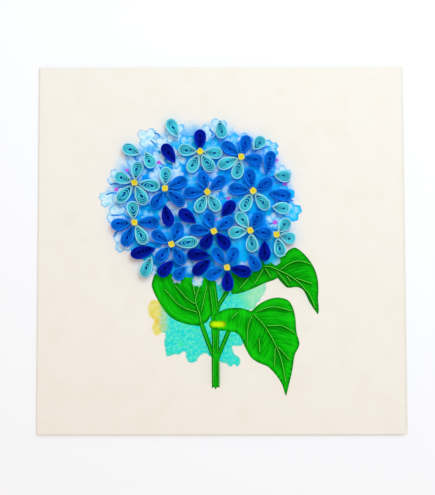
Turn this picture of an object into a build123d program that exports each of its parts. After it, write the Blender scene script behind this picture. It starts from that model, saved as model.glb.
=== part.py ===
from build123d import *

import os
from math import acos, cos, pi, radians, sin, tan

# A greeting card with a quilled hydrangea on its front, lying flat with the front up.
# X runs to the right of the picture, Y to its top, and Z up out of the front, in millimetres.
# The origin is the middle of the folded card, on the surface it lies on.

# The folded card
CARD_SIDE = 150.0
CARD_STOCK = 0.35
LEAF_GAP = 0.7  # the fold springs the two leaves this far apart
BACK_SHOWS = 1.0  # the back leaf reaches this far past the front leaf's free edge
CARD_TOP = 2 * CARD_STOCK + LEAF_GAP
FOLD_RADIUS = CARD_TOP / 2

# The printed fields, a skin of ink on the front
INK = 0.1
PRINT_TOP = CARD_TOP + INK

# The paper strips, which stand on edge
PETAL_STRIP = 3.0  # the width of a petal's strip, so the height that it stands
VEIN_STRIP = 1.5
VEIN_THICKNESS = 0.3

# A petal: a glued ring pinched to a tip, with the loose turns of the roll inside it
PETAL_LENGTH = 8.8
PINCH = 0.568  # a petal's width against its length
PETAL_WIDTH = PINCH * PETAL_LENGTH
RING_THICKNESS = 0.45
TURN_THICKNESS = 0.25
EYE = 0.66  # how far along the petal the roll's eye lies
GLUED_AT = 1.2  # the roll leaves the ring this many ring thicknesses from the tip
OUTER_TURN = 0.74  # size of the first loose turn against the ring
INNER_TURN = 0.3  # size of the roll where it ends round the eye
RING_SIDES = 9
TURN_SIDES = 6
ROLL_SIDES = 7  # sides of the loose roll in all, a little over one turn
FLANK = 0.75  # how hollow the petal's flanks are towards its tip: 0 is an oval
FULL_TURN = acos(-FLANK / (2 + FLANK))  # where on its outline a petal is widest
FULLEST = sin(FULL_TURN) * sin(FULL_TURN / 2) ** FLANK

# A flower's centre: a small square roll that sits on the tips of its petals
CENTRE_SIDE = 2.5
CENTRE_HEIGHT = 0.8
CENTRE_RIM = 0.5
CENTRE_DIP = 0.3
TIP_REACH = 0.36 * CENTRE_SIDE  # from the flower's middle to each petal's tip
NEIGHBOUR_GAP = 0.03  # a petal stays this far from the line between it and the next one

# The plant is laid out in steps, so that it grows with its petals
# Wider petals than it was laid out for open it out further
STEPS_PER_PETAL = 8.8
LAYOUT_PINCH = 0.568
STEP = PETAL_LENGTH / STEPS_PER_PETAL * max(1, PINCH / LAYOUT_PINCH)

# Each flower: its middle in steps, the turn of its centre, and its petals
# A petal is its colour, its bearing in degrees and its length in per cent of PETAL_LENGTH
FLOWERS = {
    "flower_01": (-8.6, 39.4, 45, [("navy", 90, 95), ("pale", 172, 93), ("pale", -5, 94),
                                   ("pale", -118, 98), ("pale", -58, 100)]),
    "flower_02": (8.2, 37.2, 10, [("blue", 143, 103), ("blue", 74, 97), ("blue", -11, 92),
                                  ("pale", -158, 111), ("pale", -105, 96)]),
    "flower_03": (-35.4, 26.7, 10, [("pale", 78, 94), ("pale", 158, 89), ("pale", -9, 112),
                                    ("pale", -131, 110), ("pale", -63, 107)]),
    "flower_04": (-22.9, 24.3, 5, [("pale", 87, 92), ("blue", 24, 103), ("blue", -41, 107),
                                   ("blue", -123, 101)]),
    "flower_05": (-5.7, 22.9, 45, [("blue", 106, 91), ("blue", 40, 100), ("blue", -178, 103),
                                   ("pale", -117, 97), ("pale", -60, 94)]),
    "flower_06": (12.9, 23.3, 45, [("blue", 101, 97), ("blue", 30, 95), ("blue", 172, 107),
                                   ("pale", -119, 98), ("pale", -51, 103)]),
    "flower_07": (-35.3, 10.5, 5, [("pale", 96, 91), ("blue", -174, 101), ("blue", -115, 112),
                                   ("blue", 1, 106), ("pale", -63, 104)]),
    "flower_08": (-20.3, 1.6, 18, [("blue", 147, 99), ("blue", 68, 103), ("pale", 6, 115),
                                   ("blue", -131, 98), ("blue", -58, 100)]),
    "flower_09": (-3.0, 6.9, 22, [("blue", 110, 86), ("blue", 34, 100), ("blue", 175, 107),
                                  ("navy", -126, 87), ("navy", -48, 95)]),
    "flower_10": (11.8, 7.1, 20, [("pale", 126, 95), ("pale", -173, 95), ("pale", -84, 91),
                                  ("blue", 61, 89), ("blue", -10, 93)]),
    "flower_11": (22.4, 5.5, 10, [("pale", 50, 83), ("pale", -16, 81), ("pale", -78, 97)]),
    "flower_12": (2.2, -7.9, 12, [("blue", 124, 102), ("blue", 65, 94), ("blue", -155, 97),
                                  ("navy", -13, 106), ("navy", -88, 100)]),
}

# The loose petals between the flowers: the tip in steps, the bearing and the length in per cent
LOOSE_PETALS = {
    "pale": [(-17.6, 45.1, 116, 101), (-32.7, 38.5, 157, 95), (-31.4, 39.8, -62, 90),
             (-0.8, 52.6, -80, 91), (13.0, 39.9, 51, 81), (21.1, 29.8, -7, 84),
             (20.2, 16.7, -6, 88), (-28.3, -3.1, -113, 107)],
    "blue": [(18.5, 30.0, 78, 114), (19.2, 22.6, -10, 110), (11.1, -2.2, -60, 92),
             (-14.3, -7.2, -132, 83)],
    "navy": [(-18.6, 35.0, 124, 106), (-23.3, 18.0, -75, 106), (-10.0, 10.6, 146, 100),
             (0.0, 12.8, 50, 93), (17.3, 3.2, -88, 97), (-26.5, 0.4, -163, 125),
             (-19.6, -4.8, -132, 100), (-4.5, -2.5, 180, 110), (-4.2, -4.3, -140, 112)],
}

# The printed ground of small florets: a scalloped oval behind the petals
GROUND_OVAL = (-7.9, 19.1, 41.3, 35.2)  # middle and half axes, in steps
GROUND_LOBES = 13
LOBE_SIDES = 4
LOBE_DEPTH = 0.06  # share of the oval's radius

# The printed leaves, stem and washes in steps, each outline going round once
LEAF_OUTLINES = {
    "leaf_left": [(-28.4, -10), (-28.4, -13.9), (-28, -16.4), (-26, -20.5), (-22.9, -25.5),
                  (-19.8, -28.5), (-14.8, -30.5), (-8.7, -31.4), (-5.7, -29.4), (-4.3, -26.8),
                  (-3.8, -21.3), (-4.4, -10)],
    "leaf_upper": [(26.9, -1.2), (29.3, 0.2), (30.7, 0), (33.6, -2.4), (36.3, -5.8), (38, -9),
                   (39, -12.8), (39.2, -16.8), (38.9, -20.8), (39.3, -24.8), (39, -26.7),
                   (37.5, -24.4), (35.5, -21.4), (34.2, -18.2), (33.1, -16.4), (30.6, -15.4),
                   (27.2, -16), (26, -15.4), (24.4, -13.6), (22.8, -11.8), (21.6, -12.6),
                   (17.6, -13.8), (13.6, -15.8), (7.5, -18.1), (4.3, -18.5), (3.5, -12),
                   (9, -5), (21.7, -3.8), (25.7, -3.2)],
    "leaf_lower": [(-3.4, -29.5), (-2.9, -27.6), (-1.6, -26.2), (2.2, -24.4), (7.8, -24.2),
                   (12.1, -25.7), (15.2, -22.7), (19.5, -20.6), (23.3, -20), (27.1, -21.1),
                   (28.7, -23.8), (29.8, -27.9), (30, -34.2), (31.4, -38), (31.1, -40),
                   (29.2, -43.1), (28.6, -48.2), (27.5, -53.1), (25.8, -59.7), (25, -56),
                   (23.2, -52.5), (19.1, -47.7), (15.9, -46.6), (13.1, -45.2), (11.3, -43.3),
                   (9.4, -39.6), (7.8, -35.7), (5.9, -33.8), (1.3, -33.2), (-2.4, -33.1)],
}
TRUNK_OUTLINE = [(-3.9, -43), (-3.8, -56.7), (-3.1, -55.8), (-2.5, -56.9), (-1.9, -55.9),
                 (-1.1, -56.3), (-1.1, -43), (-1.0, -26), (-2.7, -10), (-5.4, -10), (-4.1, -26)]
BRANCH_WIDTH = 1.5
BRANCHES = [[(-8.4, -30.2), (-3.2, -44)], [(3, -33.2), (-1.6, -44)], [(2.4, -17.2), (-2, -24)]]
WASH_OUTLINE = [(-22.4, -26), (-22.5, -42.6), (-21.2, -43.3), (-19.5, -42), (-17.3, -42.6),
                (-15.8, -41.4), (-14.4, -41.6), (-13.5, -45), (-12, -46), (-10.3, -45.4),
                (-9.2, -43), (-6, -41.8), (-4.5, -43.5), (-1, -45), (2.4, -46), (3.9, -48),
                (5, -46.8), (6.3, -48), (7.5, -45.2), (4.3, -43), (3.4, -38.7), (7.8, -39.4),
                (9, -36), (10, -25), (12.8, -24), (14.5, -21.5), (17.5, -17.5), (17.7, -12),
                (-4, -12)]
YELLOW_PATCHES = [(-27.4, -24.8, 2.4, 3.8), (-26, -32, 2, 2.8)]  # middle and half axes, in steps
PATCH_SIDES = 14

# The strips that stand along the leaves' veins and the stem, each by its middle line in steps
VEIN_STRIPS = {
    "leaf_left_veins": [
        [(-8.3, -30.2), (-9, -26.2), (-10.5, -20.9), (-8.5, -14.4)],
        [(-9.7, -26), (-16.8, -23.1), (-23.3, -16.4)],
        [(-10.7, -22.6), (-14.4, -19.9), (-18.9, -14.9)],
        [(-8.2, -25.2), (-5.9, -15.2)],
        [(-10.7, -18.8), (-11.7, -14.4)]],
    "leaf_upper_veins": [
        [(17.5, -7.4), (19.7, -7.5), (23.8, -9.2), (27.6, -11.2), (31, -13.6), (33.5, -16.2),
         (36, -19.6), (37.9, -24.2)],
        [(24, -8.6), (27.7, -6.2), (31.7, -5.2), (36.5, -6.6)],
        [(30, -12.1), (36.6, -14.4)],
        [(22.4, -9.3), (27.2, -15.2)],
        [(26.4, -11.3), (28.2, -13.8)],
        [(17.7, -8.1), (20.2, -12.2)],
        [(16.9, -8.6), (13.2, -14.8)],
        [(11, -12.1), (7.3, -16.5)]],
    "leaf_lower_veins": [
        [(12.9, -26.8), (16.4, -30.3), (19.7, -35.2), (21.8, -39.3), (24, -45), (25.9, -54.1)],
        [(14, -25.7), (20.5, -23.8), (28.7, -25.4)],
        [(18.4, -31.4), (24.4, -31.5), (29.7, -34.4)],
        [(22.7, -39.8), (27.5, -45.3)],
        [(21.6, -40.4), (21.3, -47.7)],
        [(12.3, -27.6), (10.7, -31.9), (10.2, -39.6)],
        [(15.1, -36.6), (15.4, -42)],
        [(6.6, -25.9), (4, -28.4)]],
    "stem_strips": [
        [(-3.2, -55.2), (-3.3, -44.5)],
        [(-1.4, -55.5), (-1.4, -44.5)],
        [(-3.2, -43.6), (-3.4, -34)],
        [(-1.6, -42.2), (-1.5, -34)],
        [(-3.5, -25.8), (-4.8, -15.5)],
        [(-1.7, -25.2), (-2.8, -15.5)],
        [(-8.1, -31.4), (-4, -42.8)],
        [(2.6, -34.2), (-0.9, -42)],
        [(2, -18.4), (-1.1, -23)]],
}


def place(point):
    """Where a point of the layout lies on the card."""
    return Vector(point[0] * STEP, point[1] * STEP)


def oval(x, y, half_width, half_height, sides, lobes=0):
    """Points round an oval of the layout, scalloped where it has lobes."""
    points = []
    for side in range(sides):
        angle = 2 * pi * side / sides
        reach = 1 - LOBE_DEPTH * (1 - abs(sin(lobes * angle / 2))) if lobes else 1
        points.append(place((x + half_width * reach * cos(angle),
                             y + half_height * reach * sin(angle))))
    return points


def strip_outline(line, thickness):
    """Outline of a strip seen on edge, along the points of its middle line."""
    points = [Vector(*point) for point in line]
    runs = [(after - before).normalized() for before, after in zip(points, points[1:])]
    left, right = [], []
    for point, run_in, run_out in zip(points, runs[:1] + runs, runs + runs[-1:]):
        along = (run_in + run_out).normalized()
        side = Vector(-along.Y, along.X) * (thickness / 2 / along.dot(run_in))
        left.append(point + side)
        right.append(point - side)
    return left + right[::-1]


def teardrop(length, turn, share=1.0):
    """Point of a petal's outline, `turn` of the way round from its tip.

    A share below 1 draws the outline in towards the roll's eye.
    """
    angle = 2 * pi * (turn % 1)
    x = length / 2 * (1 - cos(angle))
    y = PETAL_WIDTH / 2 * sin(angle) * sin(angle / 2) ** FLANK / FULLEST
    eye = EYE * length
    return (eye + share * (x - eye), share * y)


def roll_line(length):
    """Middle line of the loose turns, from where they are glued at the tip to the eye."""
    line = [(GLUED_AT * RING_THICKNESS, 0)]
    for side in range(1, ROLL_SIDES + 1):
        share = OUTER_TURN - (OUTER_TURN - INNER_TURN) * side / ROLL_SIDES
        line.append(teardrop(length, side / TURN_SIDES, share))
    return line


def petals_part(petals):
    """The petals given by tip, bearing and length, each one rolled strip on edge."""
    with BuildPart() as part:
        for tip, bearing, length in petals:
            lying = Plane((tip.X, tip.Y, PRINT_TOP)).rotated((0, 0, bearing))
            with BuildSketch(lying):
                sides = [side / RING_SIDES for side in range(RING_SIDES)]
                Polygon(*[teardrop(length, turn) for turn in sides], align=None)
                offset(amount=-RING_THICKNESS, kind=Kind.INTERSECTION, mode=Mode.SUBTRACT)
                Polygon(*strip_outline(roll_line(length), TURN_THICKNESS), align=None)
        extrude(amount=PETAL_STRIP)
    return part.part


def tip_reach(petals):
    """How far from a flower's middle its petals start: further out where two would crowd."""
    reach = TIP_REACH
    ring = sorted(petals)
    for (bearing, per_cent), (next_bearing, next_per_cent) in zip(ring, ring[1:] + ring[:1]):
        half_angle = radians((next_bearing - bearing) % 360) / 2
        for length in (per_cent, next_per_cent):
            for side in range(RING_SIDES):
                x, y = teardrop(PETAL_LENGTH * length / 100, side / RING_SIDES)
                reach = max(reach, y / tan(half_angle) - x + NEIGHBOUR_GAP)
    return reach


def flower_petals(x, y, reach, petals):
    """Tip, bearing and length of each petal round a flower's middle."""
    middle = place((x, y))
    found = []
    for bearing, per_cent in petals:
        outwards = Vector(1, 0).rotate(Axis.Z, bearing)
        found.append((middle + outwards * reach, bearing, PETAL_LENGTH * per_cent / 100))
    return found


def save(part, name):
    """Label a finished piece and write it to its own file."""
    part.label = name
    export_step(part, f"parts/{name}.step")


os.makedirs("parts", exist_ok=True)

# The card is one sheet, folded once at the left: two leaves and a round fold
half_side = CARD_SIDE / 2
fold_line = FOLD_RADIUS - half_side
front_edge = half_side - BACK_SHOWS
with BuildPart() as card:
    with BuildSketch(Plane.XZ.offset(-half_side)):
        with BuildLine():
            Polyline((fold_line, 0), (half_side, 0), (half_side, CARD_STOCK),
                     (fold_line, CARD_STOCK))
            ThreePointArc((fold_line, CARD_STOCK), (CARD_STOCK - half_side, FOLD_RADIUS),
                          (fold_line, CARD_TOP - CARD_STOCK))
            Polyline((fold_line, CARD_TOP - CARD_STOCK), (front_edge, CARD_TOP - CARD_STOCK),
                     (front_edge, CARD_TOP), (fold_line, CARD_TOP))
            ThreePointArc((fold_line, CARD_TOP), (-half_side, FOLD_RADIUS), (fold_line, 0))
        make_face()
    extrude(amount=CARD_SIDE)
save(card.part, "card")

# Outlines of the printed fields, the upper ones cutting into those behind them
with BuildSketch() as ground:
    ground_points = oval(*GROUND_OVAL, GROUND_LOBES * LOBE_SIDES, GROUND_LOBES)
    Polygon(*ground_points, align=None)
with BuildSketch() as leaf_lower:
    Polygon(*[place(point) for point in LEAF_OUTLINES["leaf_lower"]], align=None)
with BuildSketch() as stem:
    Polygon(*[place(point) for point in TRUNK_OUTLINE], align=None)
    for branch in BRANCHES:
        middle_line = [place(point) for point in branch]
        Polygon(*strip_outline(middle_line, BRANCH_WIDTH), align=None)
    add(ground.sketch, mode=Mode.SUBTRACT)
    add(leaf_lower.sketch, mode=Mode.SUBTRACT)
with BuildSketch() as leaf_left:
    Polygon(*[place(point) for point in LEAF_OUTLINES["leaf_left"]], align=None)
    add(ground.sketch, mode=Mode.SUBTRACT)
    add(stem.sketch, mode=Mode.SUBTRACT)
with BuildSketch() as leaf_upper:
    Polygon(*[place(point) for point in LEAF_OUTLINES["leaf_upper"]], align=None)
    add(ground.sketch, mode=Mode.SUBTRACT)
    add(stem.sketch, mode=Mode.SUBTRACT)
with BuildSketch() as wash:
    Polygon(*[place(point) for point in WASH_OUTLINE], align=None)
    for field in (ground, leaf_left, leaf_upper, leaf_lower, stem):
        add(field.sketch, mode=Mode.SUBTRACT)
with BuildSketch() as yellow:
    for patch in YELLOW_PATCHES:
        Polygon(*oval(*patch, PATCH_SIDES), align=None)
    for field in (leaf_left, wash):
        add(field.sketch, mode=Mode.SUBTRACT)

printed_fields = {"print_florets": ground, "print_leaf_left": leaf_left,
                  "print_leaf_upper": leaf_upper, "print_leaf_lower": leaf_lower,
                  "print_stem": stem, "print_wash": wash, "print_yellow": yellow}
for name, field in printed_fields.items():
    with BuildPart() as printed:
        with BuildSketch(Plane.XY.offset(CARD_TOP)):
            add(field.sketch)
        extrude(amount=INK)
    save(printed.part, name)

# Single strips on edge for the veins and along the stem
for name, lines in VEIN_STRIPS.items():
    with BuildPart() as strips:
        with BuildSketch(Plane.XY.offset(PRINT_TOP)):
            for line in lines:
                middle_line = [place(point) for point in line]
                Polygon(*strip_outline(middle_line, VEIN_THICKNESS), align=None)
        extrude(amount=VEIN_STRIP)
    save(strips.part, name)

# Each flower: its petals, one node for each colour, and its centre on top of their tips
for name, (x, y, turn, petals) in FLOWERS.items():
    reach = tip_reach([(bearing, per_cent) for _, bearing, per_cent in petals])
    for colour in sorted({petal[0] for petal in petals}):
        alike = [(bearing, per_cent) for shade, bearing, per_cent in petals if shade == colour]
        save(petals_part(flower_petals(x, y, reach, alike)), f"{name}_{colour}_petals")
    seat = Plane(place((x, y)) + Vector(0, 0, PRINT_TOP + PETAL_STRIP)).rotated((0, 0, turn))
    with BuildPart() as centre:
        with BuildSketch(seat):
            Rectangle(CENTRE_SIDE, CENTRE_SIDE)
        extrude(amount=CENTRE_HEIGHT)
        with BuildSketch(seat.offset(CENTRE_HEIGHT)):
            Rectangle(CENTRE_SIDE - 2 * CENTRE_RIM, CENTRE_SIDE - 2 * CENTRE_RIM)
        extrude(amount=-CENTRE_DIP, mode=Mode.SUBTRACT)
    save(centre.part, f"{name}_centre")

# The loose petals, one node for each colour
for colour, petals in LOOSE_PETALS.items():
    loose = [(place((x, y)), bearing, PETAL_LENGTH * per_cent / 100)
             for x, y, bearing, per_cent in petals]
    save(petals_part(loose), f"loose_{colour}_petals")
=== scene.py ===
"""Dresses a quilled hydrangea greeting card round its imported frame.

Every piece is built in the frame's own axes: X to the right of the picture, Y to its top and Z up
out of the card's front. Lengths are in metres, and a size in millimetres is written times MM. The
heights of the print's layers, and what the inks read from the mesh, are plain millimetres.
"""

import logging
import math
import random
from collections.abc import Callable
from dataclasses import dataclass, field
from enum import Enum, IntEnum
from typing import NamedTuple

import bpy
import bmesh
import numpy as np
from mathutils import Euler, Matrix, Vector
from mathutils.geometry import delaunay_2d_cdt


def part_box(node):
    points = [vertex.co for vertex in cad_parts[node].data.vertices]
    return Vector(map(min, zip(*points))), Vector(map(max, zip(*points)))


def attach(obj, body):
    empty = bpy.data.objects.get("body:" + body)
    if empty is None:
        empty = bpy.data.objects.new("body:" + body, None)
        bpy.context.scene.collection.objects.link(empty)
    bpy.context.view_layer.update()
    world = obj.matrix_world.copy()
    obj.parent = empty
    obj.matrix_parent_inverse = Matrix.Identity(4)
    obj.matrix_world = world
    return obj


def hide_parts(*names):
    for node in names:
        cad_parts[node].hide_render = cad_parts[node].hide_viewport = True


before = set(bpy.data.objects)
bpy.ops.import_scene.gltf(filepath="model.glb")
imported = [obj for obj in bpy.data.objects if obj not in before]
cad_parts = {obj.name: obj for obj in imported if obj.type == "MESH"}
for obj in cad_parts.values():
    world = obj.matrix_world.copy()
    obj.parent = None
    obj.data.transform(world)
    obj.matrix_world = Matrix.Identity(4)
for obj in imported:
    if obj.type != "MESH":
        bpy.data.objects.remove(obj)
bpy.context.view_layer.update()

MM = 0.001
BODY = "root"
SEED = 2311
CARD_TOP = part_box("card")[1].z
FAR = 1.0  # more than any length on the card
TINY = 1e-9  # less than any length on the card
WELD = 1e-3 * MM  # corners in the frame that are nearer to each other are one
WHOLE_TURN = 2 * math.pi
GOLDEN_TURN = math.pi * (3 - math.sqrt(5))
PHASES = (0, 6)  # between these a wave's phase is drawn, in radians
ROW_RISE = math.sqrt(0.75)  # from row to row in a grid of even triangles, against its spacing
WITHIN_RIM = 1  # asks delaunay_2d_cdt for the triangles within the rim alone
RING_SIDES = 9  # sides of a petal's solid, whose corner 0 is the tip
FLANK = 0.75  # how hollow a petal's flanks are towards its tip
FULL_TURN = math.acos(-FLANK / (2 + FLANK))  # where on its outline a petal is widest
FULLEST = math.sin(FULL_TURN) * math.sin(FULL_TURN / 2) ** FLANK

Colour = tuple[float, float, float, float]
Pair = tuple[float, float]
Socket = bpy.types.NodeSocket
Values = dict[str, np.ndarray | float]  # what a material reads, by name, for each point or for all
Faces = list[list[int]]  # each face as the rows of its points
log = logging.getLogger("card")


def ink(red: int, green: int, blue: int) -> Colour:
    """Turns a colour as it is seen, 0 to 255, into the linear values that a shader takes.

    Args:
        red: Red, 0 to 255.
        green: Green, 0 to 255.
        blue: Blue, 0 to 255.

    Returns:
        Linear red, green, blue and a full alpha.
    """
    def linear(part: int) -> float:
        """Takes one part of the colour out of its display curve."""
        share = part / 255
        return share / 12.92 if share <= 0.04045 else ((share + 0.055) / 1.055) ** 2.4

    return (linear(red), linear(green), linear(blue), 1.0)


class Layer(Enum):
    """How high each printed field lies above the card's front, in millimetres.

    The fields of one piece lie a little above each other as well.
    """

    PATCH = 0.020
    WASH = 0.026
    MINGLE = 0.040
    LEAF = 0.048
    STEM = 0.056
    CURL = 0.062
    GROUND = 0.067
    FLORET = 0.070
    STALK = 0.095
    BUD = 0.099


# Node materials


class Ramp(NamedTuple):
    """A smooth way from one range of a value to another, held at both ends."""

    low: float
    high: float
    to_low: float = 0.0
    to_high: float = 1.0


class Grain(NamedTuple):
    """A cloudy noise: how far it is from cloud to cloud, its finer layers and its scale by axis."""

    size: float
    detail: float = 2.0
    stretch: tuple[float, float, float] = (1, 1, 1)


class Bench:
    """One node material while its recipe is laid out."""

    def __init__(self, name: str, gloss: float) -> None:
        """Starts a material.

        Args:
            name: The material's name.
            gloss: Strength of the plain reflection, from 0 to 1.
        """
        self.material = bpy.data.materials.new(name)
        self.material.use_nodes = True
        self.nodes = self.material.node_tree.nodes
        self.links = self.material.node_tree.links
        self.nodes.clear()
        self.shader = self.nodes.new("ShaderNodeBsdfPrincipled")
        self.shader.inputs["Specular IOR Level"].default_value = gloss
        output = self.nodes.new("ShaderNodeOutputMaterial")
        self.links.new(self.shader.outputs["BSDF"], output.inputs["Surface"])
        self.where = self.nodes.new("ShaderNodeTexCoord").outputs["Object"]

    def _feed(self, socket: Socket, value: Socket | float | Colour) -> None:
        """Links a value to a node's input, or writes it there if it is plain.

        Args:
            socket: The node's input.
            value: Another node's output, or a plain value.
        """
        if isinstance(value, bpy.types.NodeSocket):
            self.links.new(value, socket)
        else:
            socket.default_value = value

    def value_of(self, name: str) -> Socket:
        """Reads a value that the piece's mesh carries at each of its points.

        Args:
            name: The value's name in the mesh.

        Returns:
            The value.
        """
        node = self.nodes.new("ShaderNodeAttribute")
        node.attribute_name = name
        return node.outputs["Fac"]

    def cloudy(self, grain: Grain, source: Socket | None = None) -> Socket:
        """Lays out a cloudy noise.

        Args:
            grain: The noise.
            source: Where it is read, or None for the place on the card.

        Returns:
            The noise, about 0.5 on average.
        """
        mapping = self.nodes.new("ShaderNodeMapping")
        mapping.inputs["Scale"].default_value = [part / grain.size for part in grain.stretch]
        self.links.new(source or self.where, mapping.inputs["Vector"])
        noise = self.nodes.new("ShaderNodeTexNoise")
        noise.inputs["Scale"].default_value = 1
        noise.inputs["Detail"].default_value = grain.detail
        self.links.new(mapping.outputs["Vector"], noise.inputs["Vector"])
        return noise.outputs["Fac"]

    def lanes(self, across: Socket, along: Socket) -> Socket:
        """Joins two values into one place for a noise to be read at.

        Args:
            across: The place's X.
            along: The place's Y.

        Returns:
            The place.
        """
        node = self.nodes.new("ShaderNodeCombineXYZ")
        self.links.new(across, node.inputs["X"])
        self.links.new(along, node.inputs["Y"])
        return node.outputs["Vector"]

    def ranged(self, value: Socket, ramp: Ramp) -> Socket:
        """Carries a value along a ramp.

        Args:
            value: The value.
            ramp: The ramp.

        Returns:
            Where the ramp takes it.
        """
        node = self.nodes.new("ShaderNodeMapRange")
        node.interpolation_type = "SMOOTHSTEP"
        self.links.new(value, node.inputs["Value"])
        for name, part in zip(("From Min", "From Max", "To Min", "To Max"), ramp):
            node.inputs[name].default_value = part
        return node.outputs["Result"]

    def sum_of(self, first: Socket, second: Socket, share: float = 1.0) -> Socket:
        """Adds share times the second value to the first.

        Args:
            first: The first value.
            second: The second value.
            share: How much of the second is added.

        Returns:
            The sum.
        """
        node = self.nodes.new("ShaderNodeMath")
        node.operation = "MULTIPLY_ADD"
        self.links.new(second, node.inputs[0])
        node.inputs[1].default_value = share
        self.links.new(first, node.inputs[2])
        return node.outputs["Value"]

    def product(self, first: Socket, second: Socket) -> Socket:
        """Multiplies two values.

        Args:
            first: The first value.
            second: The second value.

        Returns:
            The product.
        """
        node = self.nodes.new("ShaderNodeMath")
        node.operation = "MULTIPLY"
        self.links.new(first, node.inputs[0])
        self.links.new(second, node.inputs[1])
        return node.outputs["Value"]

    def layered(self, colour: Socket | Colour, *coats: tuple[Socket | float, Socket | Colour]) -> Socket:
        """Lays coats of colour over a first one, in order.

        Args:
            colour: The first colour.
            coats: How much of each coat there is, from 0 to 1, and its colour.

        Returns:
            The colour with all its coats.
        """
        for share, coat in coats:
            node = self.nodes.new("ShaderNodeMix")
            node.data_type = "RGBA"
            below, above, mixed = node.inputs[6], node.inputs[7], node.outputs[2]  # for colours
            for socket, value in ((node.inputs[0], share), (below, colour), (above, coat)):
                self._feed(socket, value)
            colour = mixed
        return colour

    def done(self, colour: Socket, roughness: Socket, relief: Socket, depth: float) -> bpy.types.Material:
        """Ends the recipe.

        Args:
            colour: The surface's colour.
            roughness: How matt it is, over the surface.
            relief: The height of its fine relief, from 0 to 1.
            depth: How deep that relief is.

        Returns:
            The finished material.
        """
        bump = self.nodes.new("ShaderNodeBump")
        bump.inputs["Distance"].default_value = depth
        self.links.new(relief, bump.inputs["Height"])
        self.links.new(bump.outputs["Normal"], self.shader.inputs["Normal"])
        self.links.new(colour, self.shader.inputs["Base Color"])
        self.links.new(roughness, self.shader.inputs["Roughness"])
        return self.material


@dataclass(frozen=True)
class CardStock:
    """Uncoated cream card with a slow mottle, a soft tooth and fine fibres."""

    name: str = "cream_card_stock"
    slot: str = "card_stock"
    cream: Colour = ink(249, 246, 237)
    mottle: Colour = ink(247, 243, 232)
    clouds: Grain = Grain(9 * MM, 3.0)
    fibres: Grain = Grain(0.45 * MM, 2.0, (1, 0.25, 1))
    fibre_share: float = 0.45
    mottled: Ramp = Ramp(0.62, 1.0)
    tooth: Grain = Grain(0.45 * MM, 3.0)
    coarse_tooth: Grain = Grain(1.35 * MM, 1.0)
    coarse_share: float = 0.5
    tooth_depth: float = 0.02 * MM
    rubbed: Grain = Grain(0.9 * MM)
    matt: Ramp = Ramp(0.3, 0.7, 0.82, 0.92)
    gloss: float = 0.1

    def surface(self, bench: Bench) -> Socket:
        """Colour of the bare card, the same on every piece that shows it."""
        mixed = bench.sum_of(bench.cloudy(self.clouds), bench.cloudy(self.fibres), self.fibre_share)
        return bench.layered(self.cream, (bench.ranged(mixed, self.mottled), self.mottle))

    def relief(self, bench: Bench) -> Socket:
        """Height of the card's tooth."""
        return bench.sum_of(bench.cloudy(self.tooth), bench.cloudy(self.coarse_tooth), self.coarse_share)

    def material(self) -> bpy.types.Material:
        """Builds the bare card's material.

        Returns:
            The material.
        """
        bench = Bench(self.name, self.gloss)
        roughness = bench.ranged(bench.cloudy(self.rubbed), self.matt)
        return bench.done(self.surface(bench), roughness, self.relief(bench), self.tooth_depth)


@dataclass(frozen=True)
class PrintedInk:
    """Ink printed on the card: one tone inside and another at its rim.

    The mesh carries cover, which is 0 on bare card and 1 where the ink is full, and rim, which is
    0 in the middle of a floret or bud and 1 at its rim, and goes from 0 to 1 along a stalk.
    """

    name: str
    slot: str
    inner: Colour
    outer: Colour
    blotch: float = 1.2 * MM
    detail: float = 3.0
    gloss: float = 0.05
    cloud_share: float = 0.5
    rimmed: Ramp = Ramp(0.45, 1.2)
    covered: Ramp = Ramp(0.1, 0.9)
    matt: Ramp = Ramp(0.3, 0.7, 0.62, 0.8)

    def clouds(self, bench: Bench) -> Socket:
        """The ink's own blotches."""
        return bench.cloudy(Grain(self.blotch, self.detail))

    def pigment(self, bench: Bench) -> Socket:
        """Colour of the ink itself."""
        rim = bench.sum_of(bench.value_of("rim"), self.clouds(bench), self.cloud_share)
        return bench.layered(self.inner, (bench.ranged(rim, self.rimmed), self.outer))

    def cover(self, bench: Bench) -> Socket | float:
        """Share of the card that the ink hides."""
        return bench.ranged(bench.value_of("cover"), self.covered)

    def material(self, stock: CardStock) -> bpy.types.Material:
        """Builds the ink's material over the card that carries it.

        Args:
            stock: The card.

        Returns:
            The material.
        """
        bench = Bench(self.name, self.gloss)
        colour = bench.layered(stock.surface(bench), (self.cover(bench), self.pigment(bench)))
        roughness = bench.ranged(bench.cloudy(Grain(self.blotch)), self.matt)
        return bench.done(colour, roughness, stock.relief(bench), stock.tooth_depth)


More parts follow.
